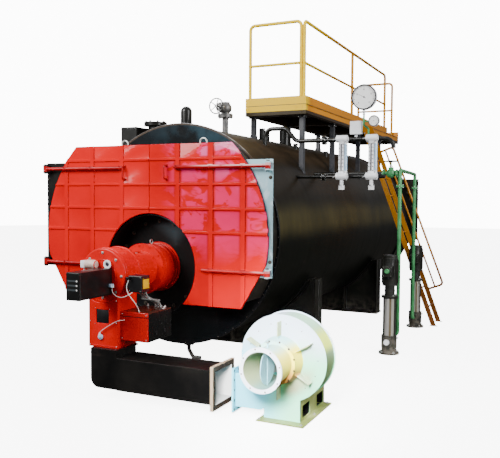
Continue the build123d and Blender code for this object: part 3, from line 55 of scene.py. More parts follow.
# Places on the boiler, in metres
AXIS_Z = 1.49
SHELL_R = 1.225
SHEET_R = 1.25
FRONT_SHEET_Y = -1.477
REAR_SHEET_Y = 4.478
FLANGE_Y = -2.024
LEAF_BACK = -2.03
LEAF_FACE = -2.05
RIB_FACE = -2.06
BAR_ZS = (2.215, 1.17)
RIB_XS = (0.35, 0.74, 1.10)
RIB_ZS = (2.3, 2.04, 1.79, 1.55)
HINGE_X = 1.375
HINGE_Y = -2.08
BURNER_Z = 1.16
THROAT_Z = 1.18
THROAT_PLATE_Y = -1.85
FRONT_DRUM_Y = -2.84
INLET_BOX_Y = -2.87
FAN_X = 1.812
FAN_Z = 0.535
FAN_FRONT = -2.77
FAN_BACK = -2.53
SHAFT_Y = -3.055
DUCT_Y = -2.76
DUCT_Z = 0.25
DUCT_END_X = 1.263
OUTLET_X = 1.385
DECK_Z = 3.07
RAIL_R = 0.021
MID_RAIL_Z = 3.58
MAIN_X = 0.07
MAIN_Z = 3.025
FEED_X = 1.985
FEED_Y = 0.355
DIAL_X = 1.86
DIAL_Y = -0.47
DIAL_Z = 3.06
SMALL_X = 1.985
SMALL_Z = 2.785


# Materials

class Wire:
    """The value that leaves one shader node, with sums on it."""

    def __init__(self, paint, socket):
        self.paint = paint
        self.socket = socket

    def sum(self, operation, first, second=0.0):
        return self.paint.node("ShaderNodeMath", {"operation": operation}, {0: first, 1: second})

    def __add__(self, other):
        return self.sum("ADD", self, other)

    def __sub__(self, other):
        return self.sum("SUBTRACT", self, other)

    def __rsub__(self, other):
        return self.sum("SUBTRACT", other, self)

    def __mul__(self, other):
        return self.sum("MULTIPLY", self, other)

    def __abs__(self):
        return self.sum("ABSOLUTE", self)

    __radd__ = __add__

    def sine(self):
        return self.sum("SINE", self)

    def least(self, other):
        return self.sum("MINIMUM", self, other)

    def most(self, other):
        return self.sum("MAXIMUM", self, other)

    def over(self, low, high):
        """A soft step: 0 below the first value and 1 above the second."""
        return self.paint.node("ShaderNodeMapRange", {"interpolation_type": "SMOOTHSTEP"},
                               {"Value": self, "From Min": low, "From Max": high})

    def under(self, low, high):
        """A soft step: 1 below the first value and 0 above the second."""
        return self.paint.node("ShaderNodeMapRange", {"interpolation_type": "SMOOTHSTEP"},
                               {"Value": self, "From Min": low, "From Max": high, "To Min": 1.0,
                                "To Max": 0.0})


class Paint:
    """A material whose pattern follows the place on the object."""

    def __init__(self, name, roughness=0.4, metallic=0.0, coat=0.0, coat_roughness=0.05, specular=0.5):
        self.material = bpy.data.materials.new(name)
        self.material.use_nodes = True
        self.tree = self.material.node_tree
        self.shader = self.tree.nodes["Principled BSDF"]
        for socket, value in (("Roughness", roughness), ("Metallic", metallic), ("Coat Weight", coat),
                              ("Coat Roughness", coat_roughness), ("Specular IOR Level", specular)):
            self.shader.inputs[socket].default_value = value
        self.place = self.node("ShaderNodeTexCoord", {}, {}, "Object")
        split = self.node("ShaderNodeSeparateXYZ", {}, {0: self.place})
        self.x, self.y, self.z = (Wire(self, socket) for socket in split.socket.node.outputs)

    def node(self, kind, settings=None, inputs=None, output=0):
        """Adds a node: its settings first, then the values or links of its sockets."""
        made = self.tree.nodes.new(kind)
        for key, value in (settings or {}).items():
            setattr(made, key, value)
        for key, value in (inputs or {}).items():
            if isinstance(value, Wire):
                self.tree.links.new(value.socket, made.inputs[key])
            else:
                made.inputs[key].default_value = value
        return Wire(self, made.outputs[output])

    def feed(self, socket, value):
        self.tree.links.new(value.socket, self.shader.inputs[socket])

    def finish(self, colour, roughness, normal):
        self.feed("Base Color", colour)
        self.feed("Roughness", roughness)
        self.feed("Normal", normal)
        return self

    def stretched(self, scale):
        """The place with each direction scaled on its own."""
        return self.node("ShaderNodeMapping", {}, {"Vector": self.place, "Scale": scale})

    def noise(self, scale, detail=3.0, grain=0.5, stretch=None, warp=0.0):
        place = self.place if stretch is None else self.stretched(stretch)
        return self.node("ShaderNodeTexNoise", {}, {
            "Vector": place, "Scale": scale, "Detail": detail, "Roughness": grain, "Distortion": warp})

    def specks(self, scale, low, high):
        """Round specks, 1 at their middles."""
        return self.node("ShaderNodeTexVoronoi", {}, {"Vector": self.place, "Scale": scale}).under(low, high)

    def mix(self, share, first, second):
        """A colour between two others."""
        colours = [value if isinstance(value, Wire) else (*value, 1.0) for value in (first, second)]
        return self.node("ShaderNodeMix", {"data_type": "RGBA"}, {0: share, 6: colours[0], 7: colours[1]}, 2)

    def bump(self, height, distance, strength=1.0, under=None):
        inputs = {"Height": height, "Distance": distance, "Strength": strength}
        if under is not None:
            inputs["Normal"] = under
        return self.node("ShaderNodeBump", {}, inputs)

    def grain(self, scale, detail, distance, strength=0.5, under=None):
        """A fine roughness of the surface."""
        return self.bump(self.noise(scale, detail), distance, strength, under)

    def distance(self, x, z):
        """The distance from a line along the drum, across the drum."""
        across = self.node("ShaderNodeCombineXYZ", {}, {0: self.x - x, 2: self.z - z})
        return self.node("ShaderNodeVectorMath", {"operation": "LENGTH"}, {0: across}, "Value")


def paint_coat(name, colour, shade, roughness, coat=0.0, metallic=0.0, mottle=2.0, peel=0.0006, dust=0.25,
               dust_colour=(0.32, 0.28, 0.22), floor_dirt=0.6, specular=0.35):
    """Brushed or sprayed paint: two tones, a fine peel and dust in the low places."""
    paint = Paint(name, roughness, metallic, coat, 0.08, specular)
    cloud = paint.noise(mottle, 5.0, 0.6).over(0.3, 0.75)
    base = paint.mix(cloud, colour, shade)
    film = paint.noise(mottle * 5, 6.0, 0.7, warp=0.6).over(0.5, 0.85) * dust
    low = paint.z.under(0.0, 0.35) * floor_dirt
    grime = (film + low * paint.noise(14.0, 4.0).over(0.35, 0.65)) * 0.8
    base = paint.mix(grime, base, dust_colour)
    return paint.finish(base, roughness + grime * 0.5 + paint.noise(22.0, 4.0).over(0.3, 0.8) * 0.08,
                        paint.grain(180.0, 2.0, peel, 0.6))


def door_paint(name, waviness, gloss, specular, glow=0.0):
    """Red enamel on a plate drawn into shallow waves by its welds, with painted shade and pink painted
    reflections.
    """
    paint = Paint(name, 0.16, 0.0, gloss, 0.03, specular)
    tone = paint.noise(1.3, 4.0, 0.6).over(0.3, 0.8)
    base = paint.mix(tone, (0.74, 0.004, 0.006), (0.62, 0.003, 0.004))
    # Painted shade: the ribs' sides are darkened, fully where glow is given and faintly otherwise.
    behind = paint.y.over(RIB_FACE + 0.0005, RIB_FACE + 0.001)
    sides = behind * paint.y.under(LEAF_FACE - 0.001, LEAF_FACE - 0.0005)
    base = paint.mix(sides * (1.0 if glow else 0.2), base, (0.20, 0.001, 0.004))
    # Painted shade: a dark line along the outer edge of the right leaf.
    edge = paint.distance(0.0, AXIS_Z).over(1.3645, 1.3655) * paint.x.over(0.0, 0.1)
    base = paint.mix(edge, base, (0.02, 0.004, 0.02))
    # glow sets the strength of the painted reflections: pink patches in the cells between the ribs, paler
    # pink towards the top.
    if glow:
        cloud = paint.noise(4.2, 3.0, 0.6, (0.75, 0.2, 1.35), 0.9)
        patch = cloud.over(0.43, 0.50) * paint.x.over(0.10, 0.42) * (paint.z + cloud * 0.5).over(1.45, 1.85)
        for rib_x in RIB_XS:
            patch = patch * abs(paint.x - rib_x).over(0.030, 0.060)
        for rib_z in RIB_ZS:
            patch = patch * abs(paint.z - rib_z).over(0.012, 0.040)
        pale = cloud.over(0.50, 0.58) * (paint.z + paint.x * 0.3).over(2.2, 2.65)
        base = paint.mix(patch * glow, base, paint.mix(pale, (0.92, 0.006, 0.13), (1.0, 0.16, 0.42)))
    inside = paint.y.over(LEAF_BACK - 0.004, LEAF_BACK - 0.001)
    soot = paint.noise(6.0, 6.0, 0.7).over(0.2, 0.9)
    base = paint.mix(inside, base, paint.mix(soot, (0.10, 0.035, 0.025), (0.025, 0.02, 0.018)))
    dust = paint.noise(9.0, 6.0, 0.7, warp=0.8).over(0.55, 0.9) * 0.05
    paint.feed("Base Color", paint.mix(dust, base, (0.50, 0.12, 0.10)))
    paint.feed("Roughness", 0.16 + dust + inside * 0.5)
    paint.feed("Coat Weight", gloss - inside * gloss)
    sheet = paint.noise(1.7, 2.0, 0.4, (1.0, 0.2, 1.1), 0.4)
    ripple = paint.noise(7.0, 2.0, 0.5, (1.0, 0.2, 1.0))
    waves = paint.bump(sheet + ripple * 0.08, waviness)
    paint.feed("Normal", paint.grain(160.0, 1.0, 0.0002, 0.4, waves))
    return paint


def bar_paint():
    """The red hinge bars, with a pink-white painted highlight on the tops of the right ones."""
    paint = Paint("bar_red_painted_highlight", 0.34, 0.0, 0.1, 0.1, 0.2)
    cloud = paint.noise(5.0, 4.0, 0.6)
    base = paint.mix(cloud.over(0.4, 0.7), (0.46, 0.002, 0.004), (0.32, 0.002, 0.006))
    # Painted highlight: pink-white along the tops of the upper right bar and, fainter, the lower right bar.
    crown = paint.z.over(2.217, 2.224) * paint.x.over(0.45, 0.75)
    crown = crown + paint.z.over(1.172, 1.179) * paint.z.under(1.25, 1.30) * paint.x.over(1.18, 1.26) * 0.4
    painted_highlight = crown * cloud.over(0.30, 0.50)
    base = paint.mix(painted_highlight * 0.85, base, (0.95, 0.55, 0.55))
    return paint.finish(base, 0.32 + cloud * 0.15, paint.bump(cloud, 0.0004))


def drum_paint():
    """Black on the drum, browned on top, with a painted olive highlight half way up and streaks down its
    sides.
    """
    paint = Paint("drum_black_gloss", 0.42, 0.0, 0.03, 0.1, 0.09)
    rise = paint.z - AXIS_Z + (paint.noise(1.2, 4.0, 0.6) - 0.5) * 0.16
    streak = paint.noise(5.0, 6.0, 0.65, (1.0, 1.0, 0.06)).over(0.40, 0.72)
    base = paint.mix(rise.over(0.25, 0.55), (0.0035, 0.0038, 0.003), (0.013, 0.009, 0.005))
    # Painted highlight: an olive band half way up the drum, partly streaked.
    sheen = rise.over(-0.09, 0.12) * rise.under(0.20, 0.42)
    base = paint.mix(sheen * (0.55 + streak * 0.45), base, (0.062, 0.050, 0.019))
    crown = rise.over(0.74, 0.98)
    base = paint.mix(crown * (0.45 + streak * 0.55), base, (0.070, 0.046, 0.026))
    base = paint.mix(rise.over(1.08, 1.20) * 0.7, base, (0.13, 0.125, 0.11))
    spots = paint.specks(26.0, 0.02, 0.12) * paint.noise(2.0, 2.0).over(0.5, 0.7) * 0.2
    paint.feed("Base Color", paint.mix(spots, base, (0.12, 0.10, 0.06)))
    paint.feed("Roughness", 0.36 + crown * 0.14 + streak * 0.06)
    sheet = paint.noise(1.1, 3.0, 0.5, (1.0, 0.6, 1.0))
    paint.feed("Normal", paint.grain(70.0, 3.0, 0.0006, 0.5, paint.bump(sheet, 0.012)))
    return paint


def sheet_paint():
    """The near-black end sheet with a painted teal reflection above the doors, its edge rubbed to bare steel.
    """
    paint = Paint("end_sheet_blue_black", 0.24, 0.0, 0.2, 0.05, 0.25)
    reach = paint.distance(0.0, AXIS_Z)
    high = paint.z.over(AXIS_Z + 0.85, AXIS_Z + 1.0)
    edge = reach.over(SHEET_R - 0.0045, SHEET_R - 0.002) * paint.noise(16.0, 4.0).over(0.25, 0.6) * high
    cloud = paint.noise(3.0, 4.0)
    base = paint.mix(cloud.over(0.35, 0.75), (0.003, 0.004, 0.005), (0.008, 0.007, 0.008))
    # Painted reflection: teal over the upper part of the sheet.
    teal = high * cloud.over(0.34, 0.56) * paint.x.over(-0.7, 0.5)
    base = paint.mix(teal, base, (0.020, 0.048, 0.064))
    rim = reach.over(SHELL_R + 0.002, SHELL_R + 0.004) * paint.z.over(AXIS_Z + 0.2, AXIS_Z + 1.0)
    base = paint.mix(rim * 0.7, base, (0.075, 0.040, 0.018))
    paint.feed("Base Color", paint.mix(edge, base, (0.5, 0.5, 0.52)))
    paint.feed("Metallic", edge * 0.8)
    paint.feed("Roughness", 0.2 + rim * 0.2)
    paint.feed("Normal", paint.bump(cloud, 0.006))
    return paint


def hinge_plate_paint():
    """A painted sky reflection in pale blue, whiter towards the top, with pale and dark blotches."""
    paint = Paint("hinge_plate_sky_reflection", 0.36, 0.0, 0.1, 0.1, 0.3)
    blotch = paint.noise(7.0, 6.0, 0.65, (1.0, 1.0, 0.45), 0.8)
    # Painted reflection of the sky: pale blue, whiter towards the top.
    base = paint.mix(paint.z.over(1.5, 2.3), (0.20, 0.34, 0.38), (0.46, 0.76, 0.86))
    base = paint.mix(blotch.over(0.45, 0.62) * 0.7, base, (0.72, 0.84, 0.90))
    dark = blotch.under(0.26, 0.38) * 0.8
    return paint.finish(paint.mix(dark, base, (0.16, 0.20, 0.24)), 0.3 + blotch * 0.2,
                        paint.bump(blotch, 0.002))


def fan_paint():
    """Thin mint paint, light blue low on the left, green on the right and olive behind, with painted light
    and shade.
    """
    paint = Paint("fan_mint", 0.4, 0.0, 0.15, 0.2, 0.35)
    cloud = paint.noise(5.0, 6.0, 0.65, warp=0.5)
    left = (paint.x - FAN_X + cloud * 0.1).under(-0.20, 0.16)
    # Painted light: the upper part of the casing turns lilac-white.
    high = (paint.z - FAN_Z + cloud * 0.2).over(0.02, 0.30)
    base = paint.mix(left, (0.30, 0.88, 0.54), (0.20, 0.78, 1.0))
    base = paint.mix(high, base, (0.70, 0.84, 1.0))
    reach = paint.distance(FAN_X, FAN_Z)
    # Painted shade: tan low on the right, by the cone.
    painted_shade_by_cone = (paint.z - FAN_Z).under(-0.16, 0.0) * (paint.x - FAN_X).over(-0.02, 0.10)
    base = paint.mix(painted_shade_by_cone * reach.under(0.27, 0.36) * (0.5 + cloud * 0.7), base, (0.40, 0.40, 0.22))
    behind = paint.y.over(FAN_FRONT + 0.009, FAN_FRONT + 0.012)
    band = behind * paint.y.under(FAN_BACK - 0.012, FAN_BACK - 0.009)
    # The band's side: olive painted shade below, lighter painted light above, with a yellow painted glint.
    side = paint.mix((paint.z - FAN_Z).over(-0.05, 0.33), (0.14, 0.17, 0.03), (0.34, 0.66, 0.40))
    glint = (paint.z - FAN_Z).over(0.06, 0.14) * (paint.z - FAN_Z).under(0.20, 0.30)
    side = paint.mix(glint, side, (0.80, 0.95, 0.02))
    base = paint.mix(band * (paint.x - FAN_X).over(-0.1, 0.1) * 0.9, base, side)
    trestle = behind * paint.z.under(0.16, 0.22) * (paint.x - FAN_X).over(0.165, 0.175)
    foot = paint.z.under(0.0125, 0.014)
    # Painted shade: the trestle's inside, between its walls, is near-black.
    between = abs(paint.x - FAN_X - 0.0115).under(0.154, 0.157)
    painted_shade_inside = between * behind * paint.z.under(0.26, 0.30) * paint.z.over(0.0125, 0.014)
    olive = paint.mix(cloud.over(0.4, 0.7), (0.20, 0.25, 0.06), (0.34, 0.38, 0.14))
    base = paint.mix((trestle + foot).least(1.0), base, olive)
    return paint.finish(paint.mix(painted_shade_inside, base, (0.012, 0.014, 0.010)), 0.34 + cloud * 0.15,
                        paint.grain(120.0, 2.0, 0.0004, 0.5, paint.bump(cloud, 0.002)))


def inlet_paint():
    """The fan's turned inlet: a lilac-white rim, a yellow collar, an orange-tan cone and olive fins."""
    paint = Paint("fan_inlet_yellow_mint", 0.4, 0.0, 0.15, 0.2, 0.35)
    cloud = paint.noise(7.0, 6.0, 0.65, warp=0.6)
    reach = paint.distance(FAN_X, FAN_Z)
    rise = paint.z - FAN_Z
    base = paint.mix(cloud.over(0.35, 0.7), (0.42, 0.80, 0.84), (0.52, 0.84, 0.72))
    rim = paint.y.under(-3.182, -3.178)
    base = paint.mix(rim, base, (0.82, 0.86, 0.96))
    flank = (paint.x - FAN_X).over(0.02, 0.16)
    pipe = paint.y.over(-3.178, -3.174) * flank * rise.under(0.10, 0.20)
    base = paint.mix(pipe, base, paint.mix(rise.over(-0.16, -0.02), (0.66, 0.30, 0.02), (1.0, 0.86, 0.06)))
    cone = paint.y.over(-2.925, -2.915) * reach.under(0.205, 0.215)
    base = paint.mix(cone * rise.under(-0.12, 0.02), base, (0.50, 0.24, 0.04))
    fins = paint.y.over(-2.925, -2.915) * reach.over(0.207, 0.212)
    base = paint.mix(fins, base, paint.mix(cloud.over(0.4, 0.65), (0.44, 0.52, 0.26), (0.62, 0.76, 0.50)))
    bore = reach.under(0.1505, 0.152)
    inner = paint.mix((paint.x - FAN_X).over(-0.14, 0.0), (0.42, 0.46, 0.20), (0.18, 0.36, 0.32))
    return paint.finish(paint.mix(bore * 0.9, base, inner), 0.34 + cloud * 0.2, paint.bump(cloud, 0.0015))


def platform_paint(name, upper, lower, turn_low, turn_high, underside=0.0):
    """Yellow enamel that turns to orange away from the front, with painted shade that makes the frame's
    underside black.
    """
    paint = Paint(name, 0.34, 0.0, 0.05, 0.1, 0.15)
    along = paint.y.over(turn_low, turn_high)
    cloud = paint.noise(4.0, 5.0, 0.65)
    base = paint.mix(along, upper, lower)
    base = paint.mix(cloud.over(0.5, 0.85) * 0.35, base, tuple(0.72 * tone for tone in lower))
    rust = paint.noise(30.0, 8.0, 0.75).over(0.70, 0.74)
    base = paint.mix(rust, base, (0.16, 0.06, 0.02))
    if underside:
        # Painted shade: black inside the frame's footprint and on the lower part of its channels.
        painted_shade_area = paint.x.over(0.232, 0.236) * paint.x.under(1.039, 1.043) * paint.y.over(-0.182, -0.178)
        painted_shade_area = painted_shade_area.most(paint.z.under(2.990, 2.994))
        base = paint.mix(painted_shade_area * underside, base, (0.012, 0.010, 0.008))
    return paint.finish(base, 0.28 + cloud * 0.15 + rust * 0.3, paint.grain(90.0, 2.0, 0.0005))


def ladder_paint():
    """Orange enamel worn brown where boots and hands go."""
    paint = Paint("ladder_orange", 0.34, 0.0, 0.25, 0.12)
    wear = (paint.z.under(0.1, 1.9) + paint.noise(6.0, 6.0, 0.7) * 0.9).over(0.6, 1.35)
    base = paint.mix(wear, (0.50, 0.19, 0.0), (0.22, 0.06, 0.0))
    scuff = paint.noise(34.0, 7.0, 0.75).over(0.66, 0.70)
    return paint.finish(paint.mix(scuff, base, (0.13, 0.07, 0.04)), 0.32 + wear * 0.2,
                        paint.grain(80.0, 2.0, 0.0005))


def deck_paint():
    """Dark chequer plate with its raised lozenges rubbed bright."""
    paint = Paint("deck_chequer", 0.45, 0.3)
    ribs = []
    for slant in (1.0, -1.0):
        wave = ((paint.x + paint.y * slant) * 150.0).sine()
        gate = ((paint.x - paint.y * slant) * 75.0).sine()
        ribs.append(wave.over(0.75, 0.95) * (gate * slant).over(0.1, 0.4))
    rib = ribs[0] + ribs[1]
    dirt = paint.noise(5.0, 6.0, 0.7).over(0.35, 0.75)
    base = paint.mix(dirt, (0.05, 0.045, 0.04), (0.13, 0.09, 0.06))
    paint.feed("Base Color", paint.mix(rib * 0.6, base, (0.34, 0.32, 0.29)))
    paint.feed("Metallic", rib * 0.8)
    paint.feed("Roughness", 0.5 - rib * 0.2)
    paint.feed("Normal", paint.bump(rib, 0.0025))
    return paint


def bare_metal(name, colour, roughness, brushed=None, stain=0.3, stain_colour=(0.2, 0.15, 0.1)):
    """Steel or zinc, with drawn marks and a little staining."""
    paint = Paint(name, roughness, 1.0)
    cloud = paint.noise(9.0, 6.0, 0.65)
    spot = cloud.over(0.52, 0.8) * stain
    paint.feed("Base Color", paint.mix(spot, colour, stain_colour))
    paint.feed("Metallic", 1.0 - spot * 0.5)
    marks = paint.noise(60.0, 4.0, 0.6, brushed or (1.0, 1.0, 1.0))
    paint.feed("Roughness", roughness + marks * 0.18)
    paint.feed("Normal", paint.bump(marks, 0.0004, 0.5))
    return paint


def rusty_frame_paint():
    """Brown primer on angle iron, gone to rust, with bare edges."""
    paint = Paint("frame_brown_rust", 0.6, specular=0.3)
    cloud = paint.noise(14.0, 8.0, 0.7, warp=0.5)
    base = paint.mix(cloud.over(0.35, 0.7), (0.030, 0.018, 0.012), (0.060, 0.034, 0.020))
    outer = abs(paint.y - DUCT_Y).over(0.198, 0.201) + abs(paint.z - DUCT_Z).over(0.188, 0.191)
    return paint.finish(paint.mix((outer * 0.8).least(1.0), base, (0.50, 0.36, 0.24)),
                        0.5 + cloud * 0.3,
                        paint.grain(60.0, 6.0, 0.001, 1.0))


def plastic(name, colour, shade, roughness, coat=0.0, specular=0.5):
    """Moulded plastic with a fine grain and finger marks."""
    paint = Paint(name, roughness, 0.0, coat, specular=specular)
    smear = paint.noise(10.0, 5.0, 0.6, warp=0.4).over(0.4, 0.8)
    return paint.finish(paint.mix(smear, colour, shade), roughness + smear * 0.12,
                        paint.grain(400.0, 2.0, 0.0002))


def control_box_paint(box):
    """A steel box with a red front, a dark brown lid and black sides."""
    low, high = box
    paint = Paint("control_box_three_tone", 0.35, 0.0, 0.1, 0.08, 0.3)
    front = paint.y.under(low.y + 0.006, low.y + 0.008)
    lid = paint.z.over(high.z - 0.010, high.z - 0.008)
    cloud = paint.noise(8.0, 5.0, 0.6).over(0.35, 0.8)
    base = paint.mix(lid, (0.004, 0.004, 0.004), (0.040, 0.013, 0.007))
    red = paint.mix(cloud, (0.48, 0.002, 0.002), (0.36, 0.002, 0.002))
    return paint.finish(paint.mix(front, base, red), 0.24 + cloud * 0.2, paint.bump(cloud, 0.0012))


def throat_paint():
    """Sooty black with a painted soft blue-grey highlight on the upper right of its ring."""
    paint = Paint("throat_black", 0.5, 0.0, 0.05, 0.1, 0.12)
    cloud = paint.noise(3.0, 4.0, 0.6).over(0.35, 0.8)
    base = paint.mix(cloud, (0.004, 0.004, 0.004), (0.011, 0.007, 0.006))
    # Painted highlight: a soft blue-grey patch on the upper right.
    gleam = (abs(paint.x - 0.20) + abs(paint.z - 1.60) * 1.3).under(0.02, 0.34)
    base = paint.mix(gleam * 0.8, base, (0.055, 0.075, 0.085))
    return paint.finish(base, 0.45 + cloud * 0.1, paint.bump(cloud, 0.003))


def duct_paint():
    """Black outside; the open end's inside carries painted light, a pale colour for the bright backdrop seen
    through it.
    """
    paint = Paint("duct_black", 0.32, 0.0, 0.12, 0.08, 0.2)
    cloud = paint.noise(2.4, 5.0, 0.6).over(0.3, 0.75)
    base = paint.mix(cloud, (0.003, 0.003, 0.0032), (0.010, 0.009, 0.008))
    top = paint.z.over(0.398, 0.402) * paint.z.under(0.46, 0.48) * paint.noise(9.0, 5.0, 0.7).over(0.45, 0.75)
    base = paint.mix(top * 0.35, base, (0.05, 0.035, 0.028))
    # Painted light: the inside of the open end is pale.
    opening = abs(paint.y - DUCT_Y).under(0.1562, 0.1567) * abs(paint.z - DUCT_Z).under(0.1462, 0.1467)
    inside = opening * paint.x.over(0.861, 0.8625)
    return paint.finish(paint.mix(inside, base, (0.86, 0.86, 0.84)), 0.30 + cloud * 0.1,
                        paint.grain(180.0, 2.0, 0.0006, 0.6, paint.bump(cloud, 0.004)))


def sleeve_paint():
    """Polished sleeves with bright, brown and dark stripes painted on as reflections of the surroundings."""
    paint = Paint("stainless_sleeve_painted_reflections", 0.3, 0.7)
    first = paint.y.under(1.0, 1.1)
    middle_x, middle_y = first * 0.065 + 1.975, 2.06 - first * 1.90
    across = (paint.x - middle_x) * 0.973 + (paint.y - middle_y) * 0.23
    # Painted reflections: stripes across each sleeve, dark, bright, brown, bright and dark again.
    base = paint.mix(across.over(-0.066, -0.050), (0.03, 0.03, 0.028), (0.80, 0.78, 0.74))
    base = paint.mix(across.over(-0.012, 0.004), base, (0.26, 0.20, 0.11))
    base = paint.mix(across.over(0.016, 0.028), base, (0.80, 0.78, 0.70))
    base = paint.mix(across.over(0.046, 0.060), base, (0.06, 0.055, 0.045))
    paint.feed("Base Color", base)
    paint.feed("Roughness", 0.26 + paint.noise(60.0, 4.0, 0.6, (1.0, 1.0, 9.0)) * 0.16)
    return paint


def panel_paint(box):
    """Black plastic with three dark rows on its front, each ending in a small pale lamp."""
    low, high = box
    paint = Paint("panel_black_plastic", 0.36, 0.0, 0.1, specular=0.3)
    smear = paint.noise(10.0, 5.0, 0.6).over(0.4, 0.8)
    base = paint.mix(smear, (0.004, 0.004, 0.004), (0.010, 0.010, 0.009))
    front = paint.y.under(low.y + 0.0022, low.y + 0.0028)
    for z in (1.162, 1.121, 1.081):
        height = abs(paint.z - z)
        row = height.under(0.0065, 0.0075) * paint.x.over(low.x + 0.017, low.x + 0.019)
        base = paint.mix(row * paint.x.under(high.x - 0.039, high.x - 0.037) * front, base,
                         (0.05, 0.06, 0.065))
        gap = paint.distance(high.x - 0.026, z)
        base = paint.mix(gap.under(0.0075, 0.0085) * front, base, (0.75, 0.75, 0.74))
    return paint.finish(base, 0.34 + smear * 0.12, paint.grain(400.0, 2.0, 0.0002))


def feed_line_paint():
    """The feed line: black where it enters the drum, green from the valve on."""
    paint = Paint("feed_line_black_green", 0.34, 0.0, 0.15, 0.1, 0.3)
    green = paint.x.over(1.868, 1.872)
    cloud = paint.noise(6.0, 5.0, 0.6).over(0.3, 0.75)
    after = paint.mix(cloud, (0.08, 0.36, 0.13), (0.04, 0.20, 0.07))
    return paint.finish(paint.mix(green, (0.006, 0.006, 0.005), after), 0.32 + cloud * 0.12,
                        paint.grain(180.0, 2.0, 0.0006, 0.6))


# Making shapes

def facing(origin, axis):
    """The placement that turns Z to an axis at a point."""
    return Matrix.Translation(Vector(origin)) @ Vector(axis).to_track_quat("Z", "Y").to_matrix().to_4x4()


def rod(mesh, start, end, radius, tip=None, sides=24):
    """A round bar, or a cone where the tip has its own radius."""
    start, end = Vector(start), Vector(end)
    length = (end - start).length
    place = facing((start + end) / 2, end - start)
    bmesh.ops.create_cone(mesh, cap_ends=True, segments=sides, radius1=radius, depth=length,
                          radius2=radius if tip is None else tip, matrix=place)


def slab(mesh, low, high, round_off=0.0):
    """A block between two corners, its edges rounded off."""
    low, high = Vector(low), Vector(high)
    made = bmesh.ops.create_cube(mesh, size=1.0,
                                 matrix=Matrix.LocRotScale((low + high) / 2, None, high - low))
    if round_off:
        edges = list({edge for vert in made["verts"] for edge in vert.link_edges})
        bmesh.ops.bevel(mesh, geom=edges, offset=round_off, segments=2, profile=0.5, affect="EDGES",
                        material=-1)


def turned(mesh, profile, origin, axis, steps=48):
    """A shape turned on a lathe, from pairs of radius and distance along its axis."""
    place = facing(origin, axis)
    part = bmesh.new()
    verts = [part.verts.new(place @ Vector((radius, 0.0, along))) for radius, along in profile]
    edges = [part.edges.new(ends) for ends in zip(verts, verts[1:])]
    bmesh.ops.spin(part, geom=verts + edges, cent=place.translation, axis=Vector(axis).normalized(),
                   angle=2 * pi, steps=steps, use_merge=True)
    join(mesh, part)


def ring(mesh, origin, axis, radius, bar, steps=48, sides=10):
    """A round bar bent to a full ring."""
    turns = [2 * pi * k / sides for k in range(sides + 1)]
    profile = [(radius + bar * cos(turn), bar * sin(turn)) for turn in turns]
    turned(mesh, profile, origin, axis, steps)


def settled(name, mesh):
    """The data block of a finished mesh."""
    data = bpy.data.meshes.new(name)
    mesh.to_mesh(data)
    mesh.free()
    return data


def linked(name, data):
    """An object with its data, put in the scene."""
    made = bpy.data.objects.new(name, data)
    bpy.context.collection.objects.link(made)
    return made


def join(mesh, part):
    """Adds a closed shape to a mesh, with its seams merged and its faces outwards."""
    bmesh.ops.remove_doubles(part, verts=part.verts, dist=1e-5)
    bmesh.ops.recalc_face_normals(part, faces=part.faces)
    made = settled("part", part)
    mesh.from_mesh(made)
    bpy.data.meshes.remove(made)


def prism(mesh, corners, push):
    """A flat outline pushed out into a solid."""
    part = bmesh.new()
    base = part.faces.new([part.verts.new(corner) for corner in corners])
    grown = bmesh.ops.extrude_face_region(part, geom=[base])["geom"]
    moved = [item for item in grown if isinstance(item, bmesh.types.BMVert)]
    bmesh.ops.translate(part, vec=push, verts=moved)
    join(mesh, part)


def fin(mesh, root, tip, side, push):
    """A thin blade from its root to its tip, pushed out along its length."""
    prism(mesh, (root - side, tip - side, tip + side, root + side), push)


def bolt(mesh, at, axis, across, washer=True):
    """A hexagon head on its washer with the end of its stud."""
    at, axis = Vector(at), Vector(axis).normalized()
    if washer:
        rod(mesh, at, at + axis * across * 0.12, across * 0.95, sides=12)
    rod(mesh, at + axis * across * 0.12, at + axis * across * 0.62, across * 0.58, sides=6)
    rod(mesh, at + axis * across * 0.62, at + axis * across * 0.85, across * 0.28, sides=8)


def around(count):
    """Even turns round a circle."""
    return [2 * pi * k / count for k in range(count)]


def spoke(turn):
    """A direction across the drum, turned from straight up towards the right."""
    return Vector((sin(turn), 0, cos(turn)))


def bolt_ring(mesh, centre, axis, radius, count, across, start=0.0):
    """Bolts at even steps round a flange."""
    place = facing(centre, axis)
    for turn in around(count):
        out = Vector((cos(start + turn), sin(start + turn), 0.0)) * radius
        bolt(mesh, place @ out, axis, across)


def bolt_grid(mesh, xs, ys, zs, axis, across, washer=True):
    """Bolts at each crossing of three lists of places."""
    for place in product(xs, ys, zs):
        bolt(mesh, place, axis, across, washer)


def head_grid(mesh, xs, ys, zs, push, radius, tip=None, sides=10):
    """Screw heads at each crossing of three lists of places."""
    for place in product(xs, ys, zs):
        rod(mesh, place, Vector(place) + Vector(push), radius, tip, sides)


def weld_line(mesh, first, last, bar):
    """A straight weld bead."""
    rod(mesh, first, last, bar, sides=8)


def made_piece(name, mesh, paint, bevel=0.0, smooth=35.0, body="boiler"):
    """Turns a finished mesh into a piece that rides on a body."""
    data = settled(name, mesh)
    piece = linked(name, data)
    data.materials.append(paint.material)
    data.shade_smooth()
    data.set_sharp_from_angle(angle=radians(smooth))
    if bevel:
        edge = piece.modifiers.new("edges", "BEVEL")
        edge.width = bevel
        edge.segments = 2
        edge.limit_method = "ANGLE"
        edge.angle_limit = radians(40)
        edge.harden_normals = True
    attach(piece, body)
    return piece


